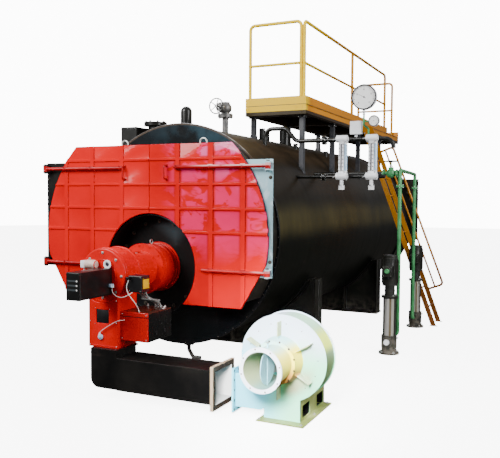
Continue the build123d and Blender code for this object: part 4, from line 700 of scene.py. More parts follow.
def lead(name, points, paint, radius=0.004):
    """A bent wire or hose through a few points."""
    curve = bpy.data.curves.new(name, "CURVE")
    curve.dimensions = "3D"
    curve.bevel_depth = radius
    curve.bevel_resolution = 3
    curve.use_fill_caps = True
    spline = curve.splines.new("NURBS")
    spline.points.add(len(points) - 1)
    for point, place in zip(spline.points, points):
        point.co = (*place, 1.0)
    spline.order_u = 3
    spline.use_endpoint_u = True
    piece = linked(name, curve)
    curve.materials.append(paint.material)
    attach(piece, "boiler")
    return piece


def dressed(node, paint, bevel):
    """A CAD piece with its facets merged, its curves smooth and its edges broken, in its own finish."""
    source = frame["nodes"][node].data
    mesh = bmesh.new()
    mesh.from_mesh(source)
    bmesh.ops.remove_doubles(mesh, verts=mesh.verts, dist=2e-5)
    flat = radians(0.3)
    bmesh.ops.dissolve_limit(mesh, angle_limit=flat, use_dissolve_boundaries=False, verts=mesh.verts,
                             edges=mesh.edges, delimit={"NORMAL"})
    body = next(body for body, nodes in frame["record"]["behaviour"]["bodies"].items() if node in nodes)
    slot = next(row["material_slot"] for row in frame["record"]["subparts"] if row["node"] == node)
    piece = made_piece(node + "_finished", mesh, paint, bevel, 32.0, body)
    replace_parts(piece, node)
    return piece


# Finishes

RED_LEFT = door_paint("door_red_left", 0.012, 0.12, 0.12)
RED_RIGHT_PAINTED_REFLECTIONS = door_paint("door_red_right_painted_reflections", 0.03, 0.2, 0.15, 0.9)
BURNER_RED = paint_coat("burner_red", (0.72, 0.004, 0.004), (0.58, 0.003, 0.003), 0.26, 0.15, mottle=5.0,
                        dust=0.03, dust_colour=(0.45, 0.08, 0.06), floor_dirt=0.0, specular=0.15)
BAR_RED = bar_paint()
DRUM = drum_paint()
SHEET = sheet_paint()
BLACK = paint_coat("black_gloss", (0.003, 0.0035, 0.003), (0.009, 0.008, 0.006), 0.3, 0.2, mottle=3.0,
                   dust=0.05, floor_dirt=0.2, specular=0.3)
SMOKEBOX = paint_coat("smokebox_black", (0.006, 0.005, 0.005), (0.022, 0.014, 0.008), 0.36, 0.15, mottle=2.2)
THROAT = throat_paint()
HINGE_PLATE_SKY_REFLECTION = hinge_plate_paint()
SUPPORT = paint_coat("support_blue_grey", (0.030, 0.034, 0.044), (0.070, 0.070, 0.075), 0.4, mottle=8.0)
DUCT = duct_paint()
ANGLE_IRON = rusty_frame_paint()
FAN = fan_paint()
INLET = inlet_paint()
FAN_MOTOR = paint_coat("fan_motor_grey_green", (0.30, 0.42, 0.36), (0.20, 0.30, 0.26), 0.4, 0.1, mottle=6.0)
PLATFORM = platform_paint("platform_yellow_orange", (0.86, 0.54, 0.0), (0.62, 0.22, 0.0), -0.16, 0.0)
FRAME = platform_paint("platform_frame_orange", (0.86, 0.54, 0.0), (0.66, 0.24, 0.0), -0.16, -0.10, 0.97)
RAIL = platform_paint("rail_pale_yellow", (0.92, 0.62, 0.0), (0.54, 0.22, 0.0), -0.12, 1.2)
LADDER = ladder_paint()
DECK = deck_paint()
ENAMEL = paint_coat("gauge_white_enamel", (0.95, 0.95, 0.97), (0.82, 0.83, 0.86), 0.3, 0.2, mottle=14.0,
                    dust=0.08, dust_colour=(0.42, 0.42, 0.42), floor_dirt=0.0)
GREEN = paint_coat("feed_green", (0.08, 0.36, 0.13), (0.04, 0.20, 0.07), 0.34, 0.15, mottle=6.0, dust=0.25,
                   dust_colour=(0.26, 0.36, 0.20), floor_dirt=0.3)
IRON = paint_coat("pump_black_iron", (0.008, 0.009, 0.008), (0.030, 0.028, 0.022), 0.4, 0.1, mottle=9.0)
VALVE = paint_coat("valve_grey_iron", (0.12, 0.12, 0.12), (0.22, 0.21, 0.20), 0.42, metallic=0.4, mottle=12.0,
                   floor_dirt=0.0)
FEED_LINE = feed_line_paint()
STAINLESS = sleeve_paint()
ZINC = bare_metal("zinc_bolts", (0.62, 0.62, 0.60), 0.34, None, 0.45)
DARK_BOLT = bare_metal("dark_bolts", (0.10, 0.085, 0.07), 0.5, None, 0.6, (0.04, 0.025, 0.015))
STEEL = bare_metal("bare_steel", (0.50, 0.50, 0.50), 0.32, (6.0, 6.0, 1.0), 0.35)
DAMPER = paint_coat("damper_light_blue", (0.36, 0.72, 0.84), (0.26, 0.56, 0.66), 0.34, 0.1, mottle=9.0)
PLASTIC = plastic("black_plastic", (0.004, 0.004, 0.005), (0.012, 0.011, 0.012), 0.34, 0.1)
SLOT_GREY = plastic("slot_grey", (0.035, 0.035, 0.030), (0.06, 0.06, 0.05), 0.5)
GREY_CONDUIT = plastic("grey_conduit", (0.20, 0.20, 0.19), (0.34, 0.34, 0.33), 0.5)
WHITE_LEAD = plastic("white_lead", (0.85, 0.78, 0.74), (0.70, 0.62, 0.60), 0.4)
PINK_LEAD = plastic("pink_white_hose", (0.82, 0.58, 0.56), (0.62, 0.40, 0.38), 0.4)
PLUG_BLUE = plastic("plug_blue_white", (0.50, 0.66, 0.86), (0.30, 0.44, 0.62), 0.3)
YELLOW_PATCH = plastic("yellow_patch", (0.80, 0.44, 0.0), (0.72, 0.36, 0.0), 0.6, specular=0.05)
CREAM = plastic("sensor_cream_pink", (0.78, 0.60, 0.52), (0.62, 0.38, 0.34), 0.35)
DIAL_FACE = plastic("dial_white", (0.96, 0.96, 0.95), (0.88, 0.88, 0.87), 0.35)
INK = plastic("dial_black", (0.01, 0.01, 0.012), (0.02, 0.02, 0.022), 0.4)
DARK_GLASS = plastic("dark_glass", (0.012, 0.004, 0.022), (0.030, 0.010, 0.045), 0.06, 1.0)
TUBE_GLASS = plastic("gauge_glass_light_blue", (0.42, 0.60, 0.78), (0.62, 0.76, 0.88), 0.06, 1.0)
SOOT = plastic("soot_bore", (0.004, 0.004, 0.004), (0.010, 0.009, 0.008), 0.9)
ROPE = plastic("seal_rope", (0.30, 0.28, 0.25), (0.16, 0.15, 0.13), 0.85)
TUBE_STEEL = bare_metal("tube_end_steel", (0.22, 0.17, 0.13), 0.5, None, 0.6, (0.10, 0.05, 0.03))


# The CAD pieces in their finishes

FINISHES = (
    ("shell", DRUM, 0.003), ("front_tubesheet", SHEET, 0.004), ("rear_tubesheet", SHEET, 0.004),
    ("front_smokebox", SMOKEBOX, 0.003), ("front_flange", BLACK, 0.002), ("hinge_plate_left", BLACK, 0.002),
    # The right hinge plate's pale blue is a painted sky reflection.
    ("hinge_plate_right", HINGE_PLATE_SKY_REFLECTION, 0.002), ("burner_throat", THROAT, 0.002),
    ("burner_plate", THROAT, 0.002),
    ("rear_smokebox", SMOKEBOX, 0.003), ("rear_flange", BLACK, 0.002), ("rear_cover", SMOKEBOX, 0.003),
    ("front_saddle", BLACK, 0.003), ("rear_saddle", BLACK, 0.003), ("door_left", RED_LEFT, 0.003),
    ("door_right", RED_RIGHT_PAINTED_REFLECTIONS, 0.003), ("door_bars_left", BAR_RED, 0.002), ("door_bars_right", BAR_RED, 0.002),
    ("door_handle_left", BAR_RED, 0.0), ("door_handle_right", BAR_RED, 0.0),
    ("burner_rear_drum", BURNER_RED, 0.002), ("burner_neck", BURNER_RED, 0.001),
    ("burner_front_drum", BURNER_RED, 0.002), ("air_inlet_box", BURNER_RED, 0.003),
    ("control_box", control_box_paint(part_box("control_box")), 0.0),
    ("panel_box", panel_paint(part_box("panel_box")), 0.0),
    ("actuator", PLASTIC, 0.0), ("air_duct", DUCT, 0.004), ("duct_frame", ANGLE_IRON, 0.002),
    ("fan_housing", FAN, 0.002), ("fan_inlet", INLET, 0.002), ("inlet_damper", DAMPER, 0.001),
    ("fan_base", FAN, 0.002), ("fan_motor", FAN_MOTOR, 0.003), ("lifting_eyes", ZINC, 0.001),
    ("top_nozzles", BLACK, 0.003), ("instrument_box", BLACK, 0.004), ("main_valve", VALVE, 0.002),
    ("main_valve_wheel", IRON, 0.0), ("platform_frame", FRAME, 0.003), ("platform_deck", DECK, 0.001),
    ("toe_boards", PLATFORM, 0.002), ("rail_side", RAIL, 0.0), ("end_rails", RAIL, 0.0),
    ("supports", SUPPORT, 0.002), ("ladder", LADDER, 0.001), ("ladder_handrail", LADDER, 0.0),
    ("gauge_headers", BLACK, 0.001), ("level_gauges", ENAMEL, 0.0015), ("level_controller", ENAMEL, 0.003),
    ("pressure_gauges", ENAMEL, 0.002), ("gauge_siphon", GREEN, 0.0), ("feed_valve", FEED_LINE, 0.001),
    ("feed_valve_wheel", IRON, 0.0), ("feed_pipes", GREEN, 0.001), ("pump_feet", IRON, 0.003),
    ("pump_sleeves", STAINLESS, 0.001), ("pump_motors", IRON, 0.002), ("drain_pipe", BLACK, 0.001),
)
for node, paint, bevel in FINISHES:
    dressed(node, paint, bevel)


# Doors and drum front

def door_fittings(side, body):
    """The cleats' bolts, the collars beside the pins and the handle's feet of one leaf."""
    mesh = bmesh.new()
    for z, cleats in zip(BAR_ZS, (RIB_XS, RIB_XS[1:])):
        bolt_grid(mesh, [side * x for x in cleats], (HINGE_Y - 0.017,), (z - 0.014, z + 0.014), -BACK,
                  0.012, False)
        ring(mesh, (side * (HINGE_X - 0.05), HINGE_Y, z), RIGHT, 0.019, 0.004, 24, 8)
    handle_x = -0.31 if side < 0 else 0.21
    for z in (2.095, 2.235):
        rod(mesh, (handle_x, LEAF_FACE, z), (handle_x, LEAF_FACE - 0.006, z), 0.018, 0.015, 20)
    made_piece(f"{body}_fittings", mesh, BAR_RED, body=body)


def hinge_fittings():
    """The pins' heads and the bolts that hold the hinge plates, which stay with the drum."""
    mesh = bmesh.new()
    for side in (-1, 1):
        for z in BAR_ZS:
            for end, way in ((z + 0.0445, 1), (z - 0.0445, -1)):
                rod(mesh, (side * HINGE_X, HINGE_Y, end), (side * HINGE_X, HINGE_Y, end + way * 0.010), 0.019,
                    0.016)
            step = -0.11 if z == BAR_ZS[0] else 0.11
            bolt(mesh, (side * 1.380, FLANGE_Y, z + step), -BACK, 0.020)
    made_piece("hinge_pins_and_bolts", mesh, DARK_BOLT)


def door_outline(inset, steps):
    """Points round the doors' shape, a little inside its edge."""
    radius, top, foot = 1.367 - inset, 0.967 - inset, -0.690 + inset
    knee_x, knee_z, slope = 1.345 - inset, -0.240, 0.589
    points = []
    for turn in around(steps):
        x, z = radius * sin(turn), radius * cos(turn)
        z = min(max(z, foot), top)
        limit = knee_x - (knee_z - z) * slope if z < knee_z else radius
        points.append((max(-limit, min(limit, x)), AXIS_Z + z))
    return points


def edge_seal():
    """The rope seal on the smokebox flange, which shows when the doors stand open."""
    mesh = bmesh.new()
    points = door_outline(0.075, 180)
    for (x0, z0), (x1, z1) in zip(points, points[1:] + points[:1]):
        if hypot(x1 - x0, z1 - z0) > 0.002 and min(hypot(x0, z0 - THROAT_Z), hypot(x1, z1 - THROAT_Z)) > 0.60:
            rod(mesh, (x0, FLANGE_Y - 0.0002, z0), (x1, FLANGE_Y - 0.0002, z1), 0.0052, sides=8)
    made_piece("door_seal_rope", mesh, ROPE)


def sheet_rivets():
    """The row of small studs round each end sheet's rim."""
    mesh = bmesh.new()
    for y, way in ((FRONT_SHEET_Y, -1), (REAR_SHEET_Y, 1)):
        for turn in around(72):
            x, z = 1.2375 * cos(turn), AXIS_Z + 1.2375 * sin(turn)
            rod(mesh, (x, y, z), (x, y + way * 0.004, z), 0.006, 0.0035, 10)
    made_piece("sheet_rim_studs", mesh, DARK_BOLT)


def tube_places():
    """The fire tubes' pattern on the front sheet: staggered rows round the furnace."""
    pitch, first_z, last_z, side, furnace, reach = 0.092, 1.02, 2.36, 1.04, 0.66, 1.10
    places = []
    for row in range(15):
        z = first_z + row * pitch * sqrt(3) / 2
        for step in range(-13, 14):
            x = (step + 0.5 * (row % 2)) * pitch
            inside = abs(x) < side and z < last_z and hypot(x, z - AXIS_Z) < reach
            if inside and hypot(x, z - THROAT_Z) > furnace:
                places.append((x, z))
    return places


def tube_ends():
    """Beaded tube ends on the front sheet with dark bores."""
    ends, bores = bmesh.new(), bmesh.new()
    profile = [(0.0255, 0.0), (0.0255, 0.006), (0.0285, 0.009), (0.0325, 0.006), (0.0335, 0.0), (0.0255, 0.0)]
    for x, z in tube_places():
        turned(ends, profile, (x, FRONT_SHEET_Y, z), -BACK, 14)
        rod(bores, (x, FRONT_SHEET_Y - 0.001, z), (x, FRONT_SHEET_Y, z), 0.0255, sides=14)
    made_piece("fire_tube_ends", ends, TUBE_STEEL)
    made_piece("fire_tube_bores", bores, SOOT)


def throat_fittings():
    """The burner plate's ring of nuts and the weld round the throat."""
    mesh = bmesh.new()
    bolt_ring(mesh, (0.0, THROAT_PLATE_Y, THROAT_Z), -BACK, 0.47, 16, 0.024)
    made_piece("burner_plate_nuts", mesh, DARK_BOLT)
    mesh = bmesh.new()
    ring(mesh, (0.0, THROAT_PLATE_Y, THROAT_Z), BACK, 0.530, 0.006, 72, 8)
    ring(mesh, (0.0, FLANGE_Y + 0.001, THROAT_Z), BACK, 0.541, 0.0035, 72, 8)
    made_piece("throat_welds", mesh, THROAT)


def rear_fittings():
    """Bolts that hold the rear cover, with their heads on the flange's near side."""
    mesh = bmesh.new()
    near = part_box("rear_flange")[0].y
    for x, z in door_outline(0.055, 60):
        if hypot(x, z - AXIS_Z) > 1.27:
            bolt(mesh, (x, near, z), -BACK, 0.024)
    made_piece("rear_cover_bolts", mesh, DARK_BOLT)


def saddle_fittings():
    """Anchor bolts and the weld beads between web, base and wear plate."""
    bolts, welds = bmesh.new(), bmesh.new()
    for y in (0.0, 3.001):
        bolt_grid(bolts, (-1.05, -0.75, -0.3, 0.3, 0.75, 1.05), (y - 0.1, y + 0.1), (0.020,), UP, 0.030)
        for way in (-1, 1):
            weld_line(welds, (-1.19, y + way * 0.011, 0.021), (1.19, y + way * 0.011, 0.021), 0.006)
            for x in (-1.163, -0.62, 0.0, 0.62, 1.163):
                weld_line(welds, (x, y + way * 0.011, 0.02), (x, y + way * 0.011, 0.20 if x == 0 else 0.60),
                          0.006)
    made_piece("saddle_anchor_bolts", bolts, DARK_BOLT)
    made_piece("saddle_welds", welds, BLACK)


door_fittings(-1, "left_door")
door_fittings(1, "right_door")
hinge_fittings()
edge_seal()
sheet_rivets()
tube_ends()
throat_fittings()
rear_fittings()
saddle_fittings()


# Burner

CONDUIT_XS = (0.370, 0.400, 0.430)
CONDUIT_TOP = -2.755
CONDUIT_FOOT = -2.460
FACE_LEAD_Y = -2.885
MOTOR_LEAD_Y = -2.868
HOSE_Y = -2.888


def burner_bolts():
    mesh = bmesh.new()
    bolt_ring(mesh, (0.0, FRONT_DRUM_Y, BURNER_Z), -BACK, 0.215, 8, 0.016)
    made_piece("burner_drum_bolts", mesh, ZINC)


def burner_seams():
    """The beads and seams round the burner's drums, and the studs on the rear drum's front."""
    mesh = bmesh.new()
    for y in (-2.10, -1.97, -1.90):
        ring(mesh, (0.0, y, BURNER_Z), BACK, 0.2495, 0.005, 64, 8)
    for y in (-2.80, -2.60):
        ring(mesh, (0.0, y, BURNER_Z), BACK, 0.2595, 0.0045, 64, 8)
    ring(mesh, (0.0, FRONT_DRUM_Y, BURNER_Z), BACK, 0.150, 0.0035, 48, 8)
    bolt_ring(mesh, (0.0, -2.186, BURNER_Z), -BACK, 0.246, 12, 0.014, 0.13)
    made_piece("burner_drum_seams", mesh, BURNER_RED)


def burner_slot():
    """The damper claw and its link, which show in the neck's slot."""
    mesh = bmesh.new()
    for y in (-2.44, -2.36, -2.28):
        slab(mesh, (-0.008, y - 0.012, 1.20), (0.008, y + 0.012, 1.335), 0.003)
    rod(mesh, (0.0, -2.46, 1.325), (0.0, -2.26, 1.325), 0.007, sides=12)
    rod(mesh, (-0.055, -2.36, 1.27), (0.055, -2.36, 1.27), 0.010, sides=16)
    made_piece("damper_claw", mesh, ZINC)


def burner_eye():
    mesh = bmesh.new()
    ring(mesh, (0.0, -2.01, 1.434), RIGHT, 0.024, 0.006, 28, 8)
    rod(mesh, (0.0, -2.01, 1.405), (0.0, -2.01, 1.414), 0.016, 0.012, 16)
    made_piece("burner_lifting_eye", mesh, ZINC)


def sight_glass():
    x, z = 0.074, 1.270
    front = FRONT_DRUM_Y - 0.022
    mesh = bmesh.new()
    turned(mesh, [(0.021, 0.0), (0.041, 0.0), (0.043, 0.006), (0.041, 0.011), (0.025, 0.011), (0.021, 0.0)],
           (x, front, z), -BACK, 32)
    made_piece("sight_glass_bezel", mesh, ENAMEL)
    mesh = bmesh.new()
    turned(mesh, [(0.0, 0.006), (0.012, 0.005), (0.021, 0.001), (0.021, 0.0), (0.0, 0.0)], (x, front, z),
           -BACK, 32)
    made_piece("sight_glass_lens", mesh, DARK_GLASS)


def flame_sensor():
    """The flame sensor: a ribbed cream cylinder with a white end block."""
    y, z = FRONT_DRUM_Y - 0.034, 1.263
    mesh = bmesh.new()
    profile = [(0.0, 0.0), (0.040, 0.0)]
    for k in range(5):
        along = 0.012 + k * 0.018
        profile += [(0.0405, along), (0.0445, along + 0.004), (0.0445, along + 0.009),
                    (0.0405, along + 0.013)]
    profile += [(0.040, 0.108), (0.030, 0.122), (0.0, 0.122)]
    turned(mesh, profile, (-0.165, y, z), RIGHT, 32)
    made_piece("flame_sensor_body", mesh, CREAM)
    mesh = bmesh.new()
    slab(mesh, (-0.215, y - 0.030, z - 0.034), (-0.163, y + 0.030, z + 0.034), 0.005)
    rod(mesh, (-0.19, y, z - 0.034), (-0.19, y, z - 0.062), 0.009, sides=12)
    made_piece("flame_sensor_plug", mesh, ENAMEL)


def inlet_box_fittings():
    """The dark window, the screws, the seams on the front edges and the strip at the foot."""
    front = INLET_BOX_Y
    mesh = bmesh.new()
    slab(mesh, (-0.051, front + 0.004, 0.708), (0.091, front + 0.012, 0.836), 0.002)
    made_piece("inlet_box_window", mesh, PLASTIC)
    mesh = bmesh.new()
    head_grid(mesh, (-0.125, 0.178), (front,), (0.495, 0.72, 0.93), (0, -0.005, 0), 0.007, 0.005)
    head_grid(mesh, (-0.064, 0.104), (front,), (0.697, 0.847), (0, -0.004, 0), 0.005, 0.004)
    made_piece("inlet_box_screws", mesh, ZINC)
    mesh = bmesh.new()
    for z in (0.492, 0.968):
        weld_line(mesh, (-0.138, front - 0.0005, z), (0.191, front - 0.0005, z), 0.003)
    slab(mesh, (-0.150, front + 0.03, 0.476), (-0.139, front + 0.28, 0.500), 0.002)
    made_piece("inlet_box_seams", mesh, BURNER_RED)


def control_box_fittings():
    """Front screws, cable glands on the lid, the lid's seam and two latches on the side."""
    low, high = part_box("control_box")
    mesh = bmesh.new()
    head_grid(mesh, (low.x + 0.022, high.x - 0.022), (low.y,), (low.z + 0.022, high.z - 0.022),
              (0, -0.004, 0), 0.007, 0.006, 12)
    for x, y in ((low.x + 0.055, high.y - 0.03), (low.x + 0.255, high.y - 0.03),
                 (low.x + 0.285, high.y - 0.10)):
        rod(mesh, (x, y, high.z), (x, y, high.z + 0.008), 0.013, sides=6)
        rod(mesh, (x, y, high.z + 0.008), (x, y, high.z + 0.022), 0.010, 0.008, 16)
    made_piece("control_box_screws_and_glands", mesh, ZINC)
    mesh = bmesh.new()
    slab(mesh, (low.x, low.y - 0.0015, high.z - 0.046), (high.x, low.y + 0.002, high.z - 0.040))
    for y in (low.y + 0.12, low.y + 0.27):
        slab(mesh, (high.x - 0.001, y, low.z + 0.05), (high.x + 0.006, y + 0.03, low.z + 0.09), 0.002)
    made_piece("control_box_seam", mesh, PLASTIC)


def panel_box_fittings():
    """The seam and the screws on the panel's side."""
    low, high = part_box("panel_box")
    mesh = bmesh.new()
    y = low.y + 0.020
    slab(mesh, (low.x - 0.0008, y - 0.0025, low.z - 0.0008), (high.x + 0.0012, y + 0.0025, high.z + 0.0008))
    head_grid(mesh, (high.x,), (low.y + 0.012, low.y + 0.04), (low.z + 0.02, high.z - 0.02), (0.002, 0, 0),
              0.005)
    made_piece("panel_box_seams", mesh, SLOT_GREY)


def actuator_fittings():
    """The damper motor's lid seam, screws and plain yellow patch, and its linkage to the drum."""
    low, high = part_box("actuator")
    low.x = 0.300
    mesh = bmesh.new()
    slab(mesh, (high.x - 0.002, low.y + 0.022, low.z + 0.034),
         (high.x + 0.0012, high.y - 0.014, low.z + 0.122), 0.001)
    made_piece("actuator_patch", mesh, YELLOW_PATCH)
    mesh = bmesh.new()
    head_grid(mesh, (low.x + 0.014, high.x - 0.014), (low.y,), (low.z + 0.014, high.z - 0.014),
              (0, -0.003, 0), 0.005, 0.004)
    rod(mesh, (0.262, -2.78, 1.10), (0.290, -2.78, 1.10), 0.014, sides=16)
    made_piece("actuator_screws", mesh, STEEL)
    mesh = bmesh.new()
    for y in (low.y + 0.016, high.y - 0.030):
        slab(mesh, (low.x - 0.0008, y - 0.0015, low.z - 0.0008),
             (high.x + 0.0008, y + 0.0015, high.z + 0.0012))
    made_piece("actuator_lid_seams", mesh, DARK_GLASS)


def conduits():
    """The nuts at both ends of the conduits and the rings of their ribbed skin."""
    mesh = bmesh.new()
    for x in CONDUIT_XS:
        (upper, high), (lower, low) = (CONDUIT_TOP, 1.0198), (CONDUIT_FOOT, 0.8302)
        rod(mesh, (x, upper, high - 0.016), (x, upper, high), 0.013, sides=6)
        rod(mesh, (x - 0.020, lower, low), (x - 0.020, lower, low + 0.016), 0.013, sides=6)
        start, end = Vector((x, upper + 0.03, 0.949)), Vector((x - 0.020, lower - 0.03, 0.901))
        for k in range(22):
            ring(mesh, start.lerp(end, k / 21), end - start, 0.0080, 0.0022, 12, 6)
    return made_piece("conduit_rings_and_nuts", mesh, GREY_CONDUIT)


def plug_body(name, low, high, paint):
    mesh = bmesh.new()
    slab(mesh, low, high, 0.003)
    return made_piece(name, mesh, paint)


burner_bolts()
burner_seams()
burner_slot()
burner_eye()
sight_glass()
flame_sensor()
inlet_box_fittings()
control_box_fittings()
panel_box_fittings()
actuator_fittings()
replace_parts(conduits(), "burner_leads")
plug_body("face_plug", (0.1232, -2.913, 1.061), (0.153, -2.867, 1.091), PLUG_BLUE)
plug_body("face_plug_end", (0.128, -2.896, 1.055), (0.158, -2.872, 1.074), ENAMEL)
plug_body("motor_plug", (0.304, -2.896, 1.143), (0.332, -2.85, 1.167), PLASTIC)
for k, x in enumerate(CONDUIT_XS):
    points = ((0.0, CONDUIT_TOP, 1.0198), (0.0, CONDUIT_TOP + 0.012, 0.985), (-0.005, -2.70, 0.957),
              (-0.010, -2.6075, 0.925), (-0.015, -2.51, 0.890), (-0.020, CONDUIT_FOOT - 0.010, 0.862),
              (-0.020, CONDUIT_FOOT, 0.8302))
    lead(f"conduit_{k}", [(x + shift, y, z) for shift, y, z in points], GREY_CONDUIT, 0.0085)
mesh = bmesh.new()
turned(mesh, [(0.0, 0.0), (0.026, 0.0), (0.028, 0.004), (0.028, 0.012), (0.020, 0.018), (0.009, 0.020),
              (0.009, 0.026), (0.0, 0.026)], (0.0, INLET_BOX_Y, 0.578), -BACK, 28)
made_piece("air_nipple", mesh, PLUG_BLUE)
mesh = bmesh.new()
rod(mesh, (0.0, HOSE_Y, 0.596), (0.001, HOSE_Y, 0.620), 0.011, 0.008, 16)
made_piece("air_nipple_nut", mesh, ENAMEL)
flat = ((0.140, 1.060), (0.141, 1.040), (0.148, 1.010), (0.185, 0.978), (0.245, 0.966))
lead("face_lead", [(x, FACE_LEAD_Y, z) for x, z in flat] + [(0.300, -2.868, 0.985), (0.345, -2.842, 1.020)],
     WHITE_LEAD)
flat = ((0.318, 1.143), (0.314, 1.120), (0.292, 1.078), (0.300, 1.030), (0.330, 0.985))
drop = [(0.372, -2.840, 0.920), (0.386, -2.812, 0.870), (0.390, -2.800, 0.830)]
lead("motor_lead", [(x, MOTOR_LEAD_Y, z) for x, z in flat] + drop, WHITE_LEAD)
flat = ((0.0, 0.590), (0.002, 0.618), (0.010, 0.632), (0.100, 0.690), (0.198, 0.745))
lead("pressure_hose", [(x, HOSE_Y, z) for x, z in flat] + [(0.226, -2.862, 0.750), (0.246, -2.830, 0.750)],
     PINK_LEAD)


# Fan and duct

def scroll_point(inset, turn):
    """A point on the casing's rounded edge, counted from the top through the right side to the foot."""
    wide = (0.410 if sin(turn) > 0 else 0.375) - inset
    tall = (0.385 if cos(turn) > 0 else 0.370) - inset
    return FAN_X + wide * sin(turn), FAN_Z + tall * cos(turn)


def casing_bolts():
    """Bolts round the casing's two side plates, the cone, the collar, the rim and the outlet."""
    mesh = bmesh.new()
    for face, way in ((FAN_FRONT, -1), (FAN_BACK, 1)):
        for k in range(9):
            x, z = scroll_point(0.075, radians(-70 + 26 * k))
            bolt(mesh, (x, face, z), BACK * way, 0.0075, washer=False)
    bolt_ring(mesh, (FAN_X, -2.915, FAN_Z), -BACK, 0.183, 12, 0.010, 0.26)
    bolt_ring(mesh, (FAN_X, -3.2, FAN_Z), -BACK, 0.172, 8, 0.007, 0.26)
    bolt_grid(mesh, (OUTLET_X,), (-2.795, -2.715, -2.65, -2.585, -2.505), (0.048, 0.392), -RIGHT, 0.012)
    bolt_grid(mesh, (OUTLET_X,), (-2.795, -2.505), (0.13, 0.22, 0.31), -RIGHT, 0.012)
    made_piece("fan_casing_bolts", mesh, DARK_BOLT)


def casing_seams():
    """Weld seams: cone to casing, fins to casing, and the band's seams between the side plates."""
    mesh = bmesh.new()
    centre = Vector((FAN_X, FAN_FRONT - 0.001, FAN_Z))
    ring(mesh, centre, BACK, 0.2055, 0.004, 56, 8)
    for turn in around(6):
        along, across = spoke(turn), spoke(turn + pi / 2) * 0.0045
        for shift in (-across, across):
            weld_line(mesh, centre + along * 0.207 + shift, centre + along * 0.328 + shift, 0.0028)
    for face in (FAN_FRONT + 0.0085, FAN_BACK - 0.0085):
        points = [scroll_point(0.0118, 2 * pi * k / 60) for k in range(-13, 31)]
        for (x0, z0), (x1, z1) in zip(points, points[1:]):
            weld_line(mesh, (x0, face, z0), (x1, face, z1), 0.0026)
    made_piece("fan_casing_welds", mesh, FAN)


def impeller():
    """The impeller's front ring, blades and hub that show through the inlet."""
    mesh = bmesh.new()
    back = FAN_FRONT + 0.058
    turned(mesh, [(0.0, 0.0), (0.145, 0.0), (0.145, 0.004), (0.0, 0.004)], (FAN_X, back, FAN_Z), -BACK, 40)
    rod(mesh, (FAN_X, back - 0.004, FAN_Z), (FAN_X, back - 0.034, FAN_Z), 0.034, 0.026, 24)
    bolt(mesh, (FAN_X, back - 0.034, FAN_Z), -BACK, 0.022)
    centre = Vector((FAN_X, back - 0.004, FAN_Z))
    for turn in around(10):
        root = Vector((0.080 * cos(turn), 0, 0.080 * sin(turn)))
        tip = Vector((0.142 * cos(turn + 0.45), 0, 0.142 * sin(turn + 0.45)))
        along = (tip - root).normalized()
        fin(mesh, centre + root, centre + tip, Vector((-along.z, 0, along.x)) * 0.002, (0, -0.046, 0))
    made_piece("fan_impeller", mesh, STEEL)


def trestle_sheet():
    """Dark cross sheets and a dark floor plate in the trestle, painted shade behind its windows, and the
    strips that close its foot.
    """
    mesh = bmesh.new()
    # Painted shade: dark sheets and a dark floor plate inside the trestle.
    for y in (-2.47, -2.154):
        slab(mesh, (1.669, y, 0.014), (1.978, y + 0.002, 0.180))
    slab(mesh, (1.684, -2.760, 0.004), (1.978, -2.160, 0.010))
    made_piece("trestle_shade_sheets", mesh, INK)
    mesh = bmesh.new()
    slab(mesh, (1.680, -2.802, 0.003), (1.9935, -2.762, 0.0118))
    slab(mesh, (1.979, -2.764, 0.003), (1.9935, -2.168, 0.0118))
    made_piece("trestle_foot_strips", mesh, FAN)


def damper_fittings():
    """The strap and screws that hold the damper plate on its shaft."""
    mesh = bmesh.new()
    slab(mesh, (FAN_X - 0.0115, SHAFT_Y - 0.016, FAN_Z - 0.10),
         (FAN_X - 0.0085, SHAFT_Y + 0.016, FAN_Z + 0.10), 0.001)
    for z in (-0.07, 0.0, 0.07):
        bolt(mesh, (FAN_X - 0.0115, SHAFT_Y, FAN_Z + z), -RIGHT, 0.010, washer=False)
    rod(mesh, (FAN_X, SHAFT_Y, 0.7305), (FAN_X, SHAFT_Y, 0.7385), 0.0125, sides=6)
    made_piece("damper_strap", mesh, ZINC, body="damper")


def fan_motor_fittings():
    """Cooling fins, the terminal box, the fan cover's rings and the mounting bolts."""
    fins = bmesh.new()
    centre = Vector((FAN_X, -2.455, FAN_Z))
    for turn in around(36):
        if cos(turn) >= -0.5:
            along, across = spoke(turn), spoke(turn + pi / 2)
            fin(fins, centre + along * 0.148, centre + along * 0.1585, across * 0.0018, (0, 0.29, 0))
    slab(fins, (FAN_X + 0.10, -2.40, FAN_Z + 0.10), (FAN_X + 0.148, -2.26, FAN_Z + 0.158), 0.005)
    made_piece("fan_motor_fins", fins, FAN_MOTOR)
    dark = bmesh.new()
    for k in range(5):
        ring(dark, (FAN_X, -2.1497, FAN_Z), BACK, 0.03 + 0.022 * k, 0.0028, 40, 6)
    made_piece("fan_motor_grille", dark, INK)
    mesh = bmesh.new()
    bolt_grid(mesh, (FAN_X - 0.105, FAN_X + 0.105), (-2.40, -2.22), (0.4351,), UP, 0.018)
    bolt_grid(mesh, (1.639, 2.022), (-2.83, -2.50, -2.14), (0.012,), UP, 0.016)
    made_piece("fan_foot_bolts", mesh, ZINC)


